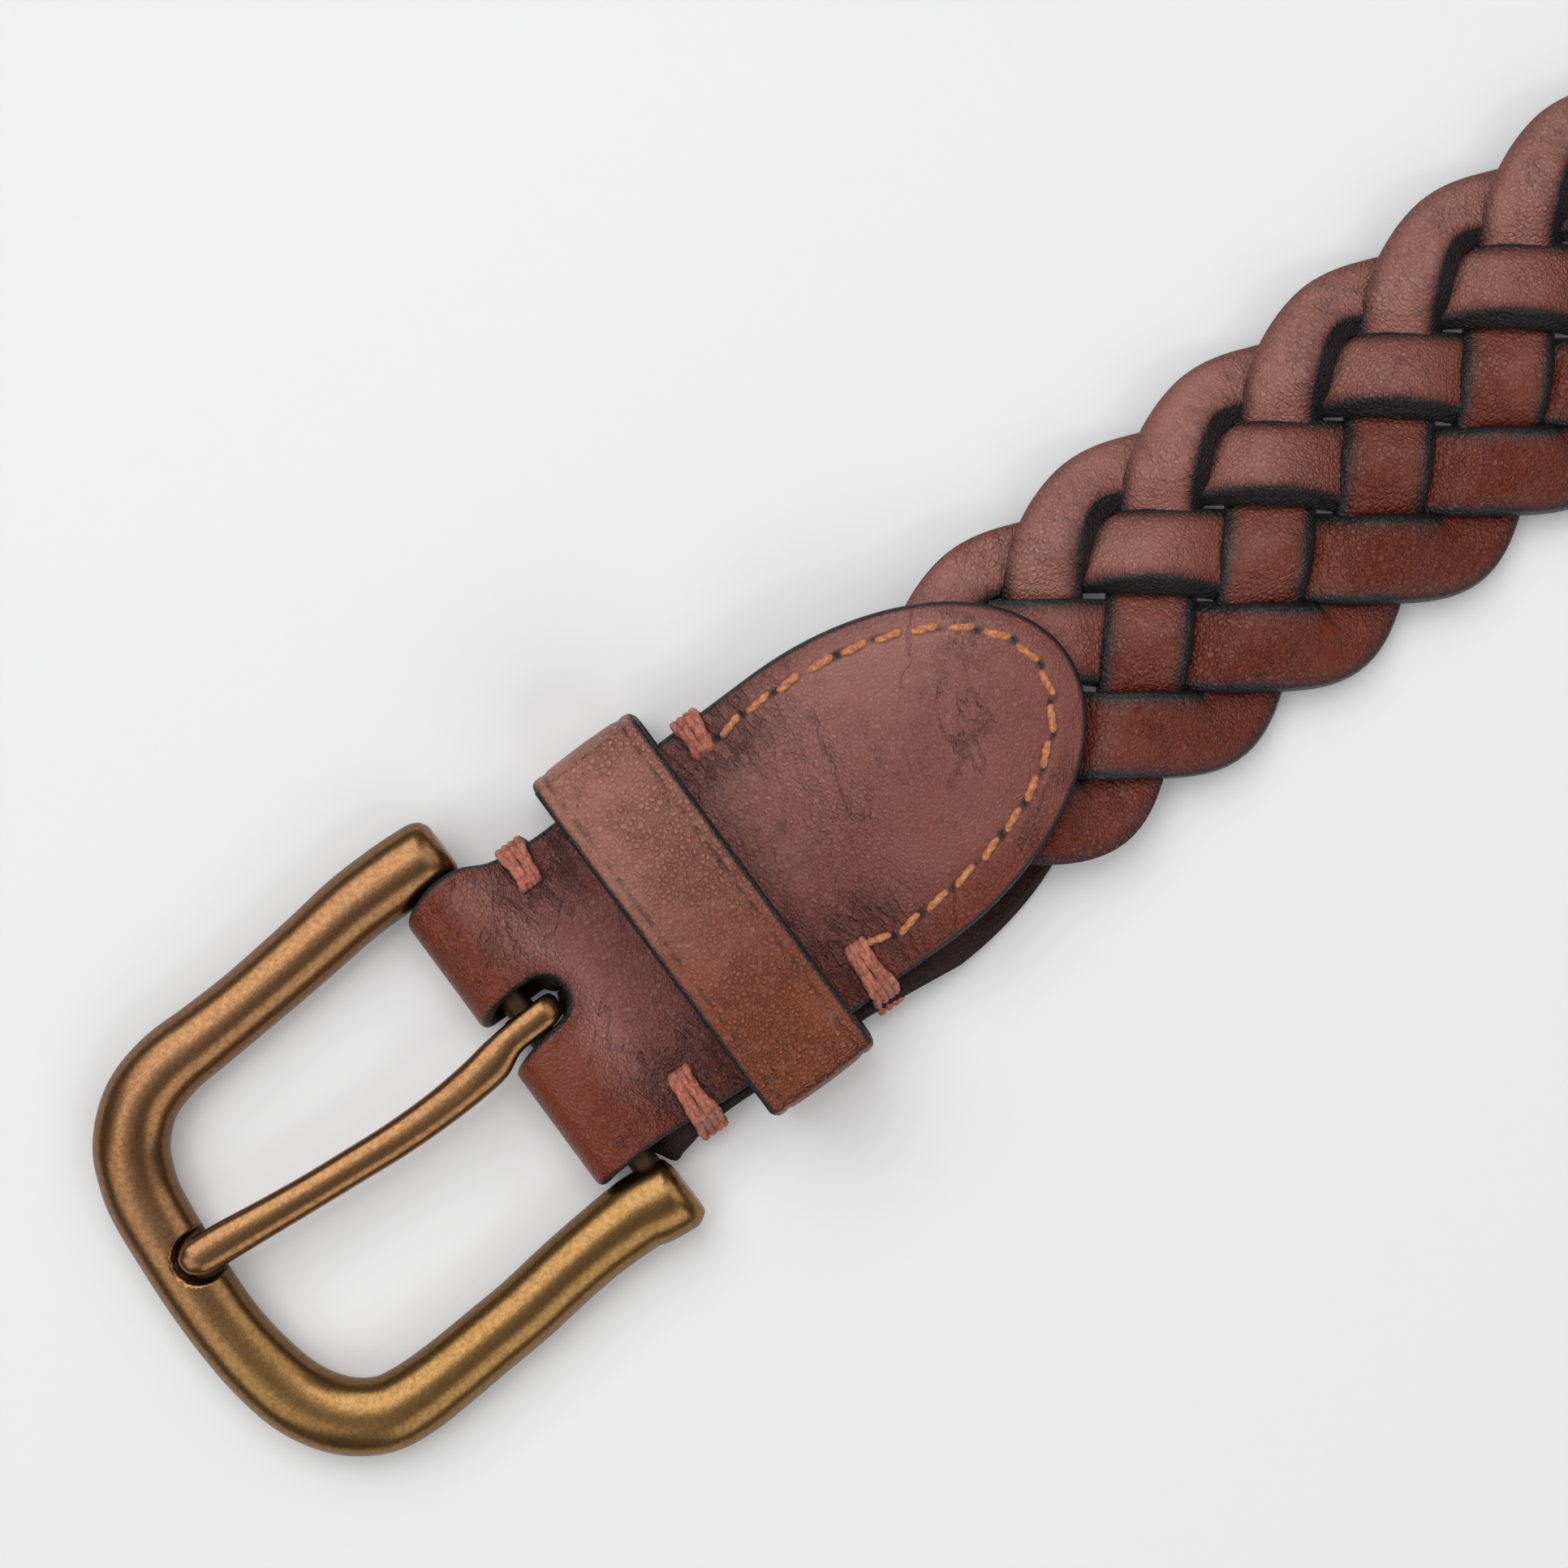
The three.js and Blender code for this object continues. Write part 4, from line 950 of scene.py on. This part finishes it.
# the strands run a little to the right of the hinges' middle
STRAND_Y = BRAID_Y - 0.5
# How wide the strand looks, at distances along it.
STRAND_WIDTH = [
    (0, 7.3), (5, 7.8), (10.3, 8.7), (18.4, 9.2), (27.1, 9.9), (35.8, 9.9), (44, 9.1), (51.1, 9.5),
    (57.7, 9.8), (64.3, 9.4), (70.7, 8.6),
]
STRAND_THICK = 2.5
STRAND_CROWN = 0.42
# one strand's thickness and the whole braid's, where the end tabs press on them
PRESSED_STRAND, PRESSED_BRAID = 1.9, 4.3
# How far the strand leans over, in degrees, at distances along it: its right side is the higher one.
STRAND_LEAN = [
    (0, 27), (5, 25), (10.3, 10), (18.8, 21), (27.1, 5), (35.8, -4), (44, -5), (51.1, -2), (57.7, 6),
    (64.7, 8), (71.5, 23),
]
# The strand's section, from its left side over the top to its right side and back underneath.
TOP_ACROSS = np.array([0.985, 0.94, 0.87, 0.78, 0.67, 0.54, 0.4, 0.25, 0.09])
TOP_ACROSS = np.concatenate([TOP_ACROSS, -TOP_ACROSS[::-1]])
SIDE_UP = np.array([0.55, 0.2, -0.2, -0.6])
UNDER_ACROSS = np.array([-0.93, -0.5, 0, 0.5, 0.93])
SECTION_ACROSS = np.concatenate([TOP_ACROSS, -np.ones(4), UNDER_ACROSS, np.ones(4)])
SECTION_UP = np.concatenate([1 - 0.22 * TOP_ACROSS**8, SIDE_UP, -np.ones(5), SIDE_UP[::-1]])
SECTION_TOP = np.concatenate([np.ones(len(TOP_ACROSS)), np.zeros(13)])


def repeated(table):
    """The (distance, value) rows of a table, repeated over the neighbouring cycles."""
    return [(turn * CYCLE + row[0], row[1]) for turn in range(-1, 3) for row in table]


LINE_Y = repeated(STRAND_LINE)
LINE_LEAN = repeated(STRAND_LEAN)
LINE_WIDTH = repeated(STRAND_WIDTH)


def strand_y(x):
    return smooth_table(LINE_Y, np.mod(x, CYCLE))


def strand_angle(x):
    return np.arctan((strand_y(x + 0.05) - strand_y(x - 0.05)) / 0.1)


PLATEAU = 0.08


def level_table():
    """Over (1) and under (-1) plateaus with short ramps between them, as (x, level) rows."""
    rows = []
    turning = [row for row in STRAND_LINE if row[2] != 0]
    for turn in range(-1, 3):
        for i, (x, _, level) in enumerate(turning):
            after = turning[(i + 1) % len(turning)]
            gap = (after[0] - x) % CYCLE
            reach = PLATEAU * gap
            before = turning[i - 1]
            reach_before = PLATEAU * ((x - before[0]) % CYCLE)
            rows.append((turn * CYCLE + x - reach_before, level))
            rows.append((turn * CYCLE + x + reach, level))
    return rows


LEVELS = level_table()


def strand_level(x):
    """Height of the strand between -1 and 1, eased at both ends of each ramp."""
    xs, levels = np.array(LEVELS).T
    x = np.mod(x, CYCLE)
    i = np.clip(np.searchsorted(xs, x, side="right") - 1, 0, len(xs) - 2)
    t = np.clip((x - xs[i]) / (xs[i + 1] - xs[i]), 0, 1)
    return levels[i] + (levels[i + 1] - levels[i]) * t * t * (3 - 2 * t)


def crossing_skew(x):
    """Cotangent of the angle between the strand and the ones it crosses, signed by their side."""
    rows = []
    for i, (at, _, level) in enumerate(STRAND_LINE):
        partner = STRAND_LINE[(len(STRAND_LINE) - i) % len(STRAND_LINE)][0]
        own, other = strand_angle(np.array(float(at))), strand_angle(np.array(float(partner)))
        skew = 0.0 if level == 0 else np.sign(other - own) / math.tan(abs(own - other))
        rows.append((at, float(skew)))
    table = [(at + turn * CYCLE, skew) for turn in (-1, 0, 1, 2) for at, skew in rows]
    return smooth_table(table, np.mod(x, CYCLE))


def free_braid(x):
    """0 where the braid is pressed between the end tabs' layers, 1 where it lies free."""
    return smooth(x, 61, 79) * (1 - smooth(x, TAB_LOW[0] - 18, TAB_LOW[0] + 2))


def strand_points(origin, x, number):
    """Rings of one strand at the given distances from its upper turn."""
    across, over = SECTION_ACROSS, SECTION_UP
    narrow = lerp(0.82, 1, smooth(origin + x, 44, 56))
    y, angle = strand_y(x), strand_angle(x)
    free = free_braid(origin + x)
    lean_degrees = smooth_table(LINE_LEAN, np.mod(x, CYCLE)) * free
    lean = np.radians(lean_degrees)
    thick = lerp(PRESSED_STRAND, STRAND_THICK, free)
    swing = (lerp(PRESSED_BRAID, FREE_BRAID, free) - thick) / 2
    half = smooth_table(LINE_WIDTH, np.mod(x, CYCLE)) / 2 * lerp(0.9, 1, free)
    middle = lerp(HEEL_Z, FREE_BRAID / 2, free) + 0.6 * half * np.sin(np.abs(lean))
    v = half[:, None] * across[None, :]
    q = thick[:, None] / 2 * over[None, :]
    upper = (over[None, :] + 1) / 2
    right = lerp(0.6, 1.1, smooth(lean_degrees, 4, 18)) * free
    left = lerp(0.7, 0.1, smooth(lean_degrees, -3, 12)) * free
    v = (v + right[:, None] * upper * np.clip(-across, 0, 1) ** 3
         - left[:, None] * upper * np.clip(across, 0, 1) ** 3)
    crown = STRAND_CROWN * free[:, None] * (1 - across**2)[None, :] * SECTION_TOP[None, :]
    level = strand_level(x[:, None] - v * crossing_skew(x)[:, None] * np.cos(angle)[:, None])
    lateral = v * np.cos(lean)[:, None] + q * np.sin(lean)[:, None]
    vertices = np.zeros((len(x), len(across), 3))
    vertices[..., 0] = origin + x[:, None] - lateral * np.sin(angle)[:, None]
    vertices[..., 1] = STRAND_Y + narrow[:, None] * (y[:, None] + lateral * np.cos(angle)[:, None])
    vertices[..., 2] = (middle[:, None] + swing[:, None] * level - v * np.sin(lean)[:, None]
                        + q * np.cos(lean)[:, None] + crown)
    vertices[..., 2] = np.maximum(vertices[..., 2], 0.03)

    off_middle = np.abs(across)[None, :]
    top_edge = 0.35 * smooth(off_middle, 0.35, 0.75) + 0.65 * smooth(off_middle, 0.68, 0.98)
    under = (1 - SECTION_TOP)[None, :] * (np.abs(across) < 0.9)
    left_turn = 1 - 0.75 * smooth(y, 7, 12)[:, None] * (across > 0)
    right_turn = 1 - 0.35 * smooth(-y, 9, 12)[:, None] * (across < 0)
    edge = np.where(SECTION_TOP[None, :] > 0, top_edge * left_turn * right_turn, 1.0 - 0.8 * under)
    # warm: lower half darker and warmer, painted shade; lit: painted sheen on the upper turns
    warm = np.clip(1 - smooth(y, -9, 5), 0, 1)[:, None] * np.ones(len(across))
    lit = (0.04 + 0.96 * smooth(y, -2, 11))[:, None] * (1 - smooth(np.abs(across - 0.1), 0.3, 1.0))[None, :]
    # the inside of each turn is darkened with painted shade and ridged
    turning = smooth(np.abs(y), 7.5, 12)[:, None]
    concave = 1 - smooth(np.sign(y)[:, None] * across[None, :], -1, 0.9)
    everywhere = np.ones_like(v)
    return vertices, {
        "edge": edge * everywhere,
        "burnish_and_shade": 0.95 * warm,
        "painted_sheen": lit,
        "wrinkle": 0.12 + 0.3 * turning * concave,
        # painted shade on the underside
        "dark": 0.3 * under * everywhere,
        "ridged": 0.2 + 0.8 * turning * concave,
        "along": x[:, None] * everywhere + 100 * number,
        "across": v,
    }


def split_places(origin):
    """Where one strand is divided: at the under-crossing nearest the middle between two hinges."""
    under = [row[0] for row in STRAND_LINE if row[2] < 0]
    places = [BRAID_START - origin]
    for a, b in zip(HINGE_X, HINGE_X[1:]):
        middle = (a + b) / 2 - origin
        turns = math.floor(middle / CYCLE)
        options = [at + (turns + k) * CYCLE for at in under for k in (-1, 0, 1)]
        places.append(min(options, key=lambda at: abs(at - middle)))
    return places + [BRAID_END - origin]


def braid():
    """Each strand as a row of pieces, one for each hinge."""
    for strand in range(STRANDS):
        origin = FIRST_APEX + strand * STEP
        places = split_places(origin)
        for n, hinge in enumerate(HINGE_X):
            start, end = places[n], places[n + 1]
            spacing = 0.55 if n == 0 else 1.0
            x = np.linspace(start, end, max(2, round((end - start) / spacing)))
            vertices, values = strand_points(origin, x, strand)
            rings, sides = vertices.shape[:2]
            values = {key: value.ravel() for key, value in values.items()}
            piece = make_object(f"strand_{strand + 1}_run_{n + 1}", vertices.reshape(-1, 3),
                                tube_faces(rings, sides), BRAID_LEATHER, values)
            replaced = [f"strand_{strand + 1}_section_{n + 1}"]
            if n == len(HINGE_X) - 1:
                replaced.append(f"strand_{strand + 1}_section_{n + 2}")
            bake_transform(piece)
            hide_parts(*replaced)


# ---- tip tab ----

TAB_INNER_ROUND = 22
TAB_OUTER_ROUND = 16


def tab_half_width(x, inset=0.0):
    half = (TAB_HIGH[1] - TAB_LOW[1]) / 2 - inset
    inner = TAB_LOW[0] + TAB_INNER_ROUND
    outer = TAB_HIGH[0] - TAB_OUTER_ROUND
    a = np.clip((inner - x) / (TAB_INNER_ROUND - inset), 0, 1)
    b = np.clip((x - outer) / (TAB_OUTER_ROUND - inset), 0, 1)
    return half * np.sqrt(1 - np.maximum(a, b) ** 2)


def face_layer_z(x):
    """Underside of the tab's face layer."""
    over_braid = TAB_HIGH[2] - LEATHER
    return lerp(over_braid, LEATHER + 0.12, smooth(x, BRAID_END + 1, BRAID_END + 22))


def tab_seam_spots():
    inner = TAB_LOW[0] + TAB_INNER_ROUND
    outer = TAB_HIGH[0] - TAB_OUTER_ROUND
    half = (TAB_HIGH[1] - TAB_LOW[1]) / 2 - 3
    turns = np.radians(np.arange(0, 181, 12))
    left = [(inner - (TAB_INNER_ROUND - 3) * math.sin(a), BRAID_Y + half * math.cos(a)) for a in turns]
    right = [(outer + (TAB_OUTER_ROUND - 3) * math.sin(a), BRAID_Y - half * math.cos(a)) for a in turns]
    sides = np.linspace(inner, outer, 8)[1:-1]
    line = left + [(x, BRAID_Y - half) for x in sides] + right + [(x, BRAID_Y + half) for x in sides[::-1]]
    path = spline(line, 900, closed=True)
    return stitch_points(np.vstack([path, path[:1]]), STITCH)[:-1]


TAB_STITCHES = tab_seam_spots()


def tab_layer(name, middle_z, has_face):
    """One layer of the tip tab, over its rounded outline."""
    inner = TAB_LOW[0] + TAB_INNER_ROUND
    outer = TAB_HIGH[0] - TAB_OUTER_ROUND
    bow = np.sin(np.radians(np.concatenate([np.arange(0, 84, 4.0), np.arange(84, 90.01, 1.5)])))
    x = np.concatenate([(inner - TAB_INNER_ROUND * bow)[::-1], np.linspace(inner, outer, 120)[1:-1],
                        outer + TAB_OUTER_ROUND * bow])
    half = tab_half_width(x)
    low, high = BRAID_Y - half, BRAID_Y + half
    grid_y, index = strip_grid(x, low, high, 70)
    rows, count = grid_y.shape
    px, py = x[index.ravel()], grid_y.ravel()
    outline = np.vstack([np.column_stack([x, low]), np.column_stack([x, high])[::-1], [(x[0], low[0])]])
    spot = np.column_stack([px, py])
    distance = distance_to(spot, outline)
    thickness = edge_height(distance)
    middle = middle_z(px)
    dimple = dimples(px, py, TAB_STITCHES) if has_face else np.zeros_like(px)
    vertices, edge = [], []
    for sign in (1, -1):
        z = middle + sign * thickness - (0.2 * dimple if sign > 0 else 0)
        vertices.append(np.column_stack([px, py, np.maximum(z, 0.02)]))
        edge.append(1 - smooth(distance, 0.12, 1.1))
    hole = holes(px, py, TAB_STITCHES) if has_face else np.zeros_like(px)
    values = {
        "edge": np.concatenate(edge),
        # painted shade towards the lower side, painted sheen towards the upper side
        "burnish_and_shade": np.tile(0.5 * (1 - smooth(py, -16, 4)), 2),
        "painted_sheen": np.tile(0.6 * smooth(py, -6, 14) * smooth(distance, 0.4, 3.0), 2),
        "wrinkle": np.full(2 * len(px), 0.1),
        # painted shade on the back and in the stitch holes
        "dark": np.concatenate([hole, np.full_like(hole, 0.3)]),
        "ridged": np.zeros(2 * len(px)),
        "along": np.tile(px, 2),
        "across": np.tile(py, 2),
    }
    opened = np.full(rows - 1, True)
    return make_object(name, np.vstack(vertices), sheet_faces(rows, count, 0, opened, opened),
                       CHAPE_LEATHER, values, weld=0.004)


# ---- assembly ----

def place(piece, body, slot, *nodes):
    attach(piece, body)
    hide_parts(*nodes)


place(buckle_frame(), "buckle", "brass", "buckle_frame")
place(prong(), "prong", "brass", "prong")
place(chape(), "head", "leather", "chape")
place(keeper(), "keeper", "leather", "keeper")
for tack_name in TACKS:
    place(tack(tack_name), "head", "waxed_thread", tack_name)
place(stitch_row("head_seam_stitches", HEAD_STITCHES, tongue_top), "head", "seam_thread", "head_seam")
braid()
place(tab_layer("tip_tab_face_leather", lambda x: face_layer_z(x) + LEATHER / 2, True), "tail", "leather",
      "tip_tab_face")
place(tab_layer("tip_tab_back_leather", lambda x: np.full_like(x, LEATHER / 2), False), "tail", "leather",
      "tip_tab_back")
place(stitch_row("tip_seam_stitches", TAB_STITCHES, lambda x, y: face_layer_z(x) + LEATHER, closed=True),
      "tail", "seam_thread", "tip_seam")


# ---- studio ----

def floor():
    size = 12.0
    mesh = bpy.data.meshes.new("studio_floor")
    square = [(-size, -size, 0), (size, -size, 0), (size, size, 0), (-size, size, 0)]
    mesh.from_pydata(square, [], [(0, 1, 2, 3)])
    mesh.materials.append(floor_material())
    made = bpy.data.objects.new("studio_floor", mesh)
    bpy.context.scene.collection.objects.link(made)


def softbox(name, towards_x, azimuth, from_zenith, size_mm, radiance):
    """A rectangular lamp, a metre from the buckle end of the belt and facing it."""
    light = bpy.data.lights.new(name, "AREA")
    light.shape = "RECTANGLE"
    light.size, light.size_y = size_mm[0] * MM, size_mm[1] * MM
    light.energy = radiance * math.pi * light.size * light.size_y
    made = bpy.data.objects.new(name, light)
    lean, turn = math.radians(from_zenith), math.radians(azimuth)
    centre = Vector((40 + towards_x, 0, 0)) * MM
    level = math.sin(lean)
    made.location = centre + Vector((level * math.cos(turn), level * math.sin(turn), math.cos(lean)))
    aim = centre - made.location
    made.rotation_euler = aim.to_track_quat("-Z", "Y").to_euler()
    bpy.context.scene.collection.objects.link(made)


def studio_world():
    world = bpy.data.worlds.new("studio")
    world.use_nodes = True
    background = world.node_tree.nodes["Background"]
    background.inputs["Color"].default_value = (1, 1, 1, 1)
    background.inputs["Strength"].default_value = 0.16
    bpy.context.scene.world = world


VIEW_CENTRE = (35.45, 6.2)
VIEW_TURN = 36.4


def camera():
    """Straight down on the buckle end, with the belt running up to the right."""
    distance, across = 405.0, 161.0
    data = bpy.data.cameras.new("camera")
    data.sensor_width = 36.0
    data.lens = 36.0 * (distance - 5) / across
    data.clip_start, data.clip_end = 0.01, 100
    made = bpy.data.objects.new("camera", data)
    lean = math.radians(VIEW_TURN)
    right = Vector((math.cos(lean), -math.sin(lean), 0))
    up = Vector((math.sin(lean), math.cos(lean), 0))
    turn = Matrix((right, up, Vector((0, 0, 1)))).transposed()
    made.matrix_world = Matrix.Translation(Vector((*VIEW_CENTRE, distance)) * MM) @ turn.to_4x4()
    bpy.context.scene.collection.objects.link(made)
    bpy.context.scene.camera = made


floor()
softbox("key_left_of_belt", 0, 90, 32, (1000, 900), 2.75)
softbox("fill_right_of_belt", 0, -90, 46, (950, 620), 1.6)
softbox("strip_beyond_tail", 0, 0, 42, (600, 700), 1.3)
softbox("strip_before_buckle", 0, 180, 42, (600, 640), 1.5)
studio_world()
camera()
bpy.context.scene.view_settings.view_transform = "Standard"
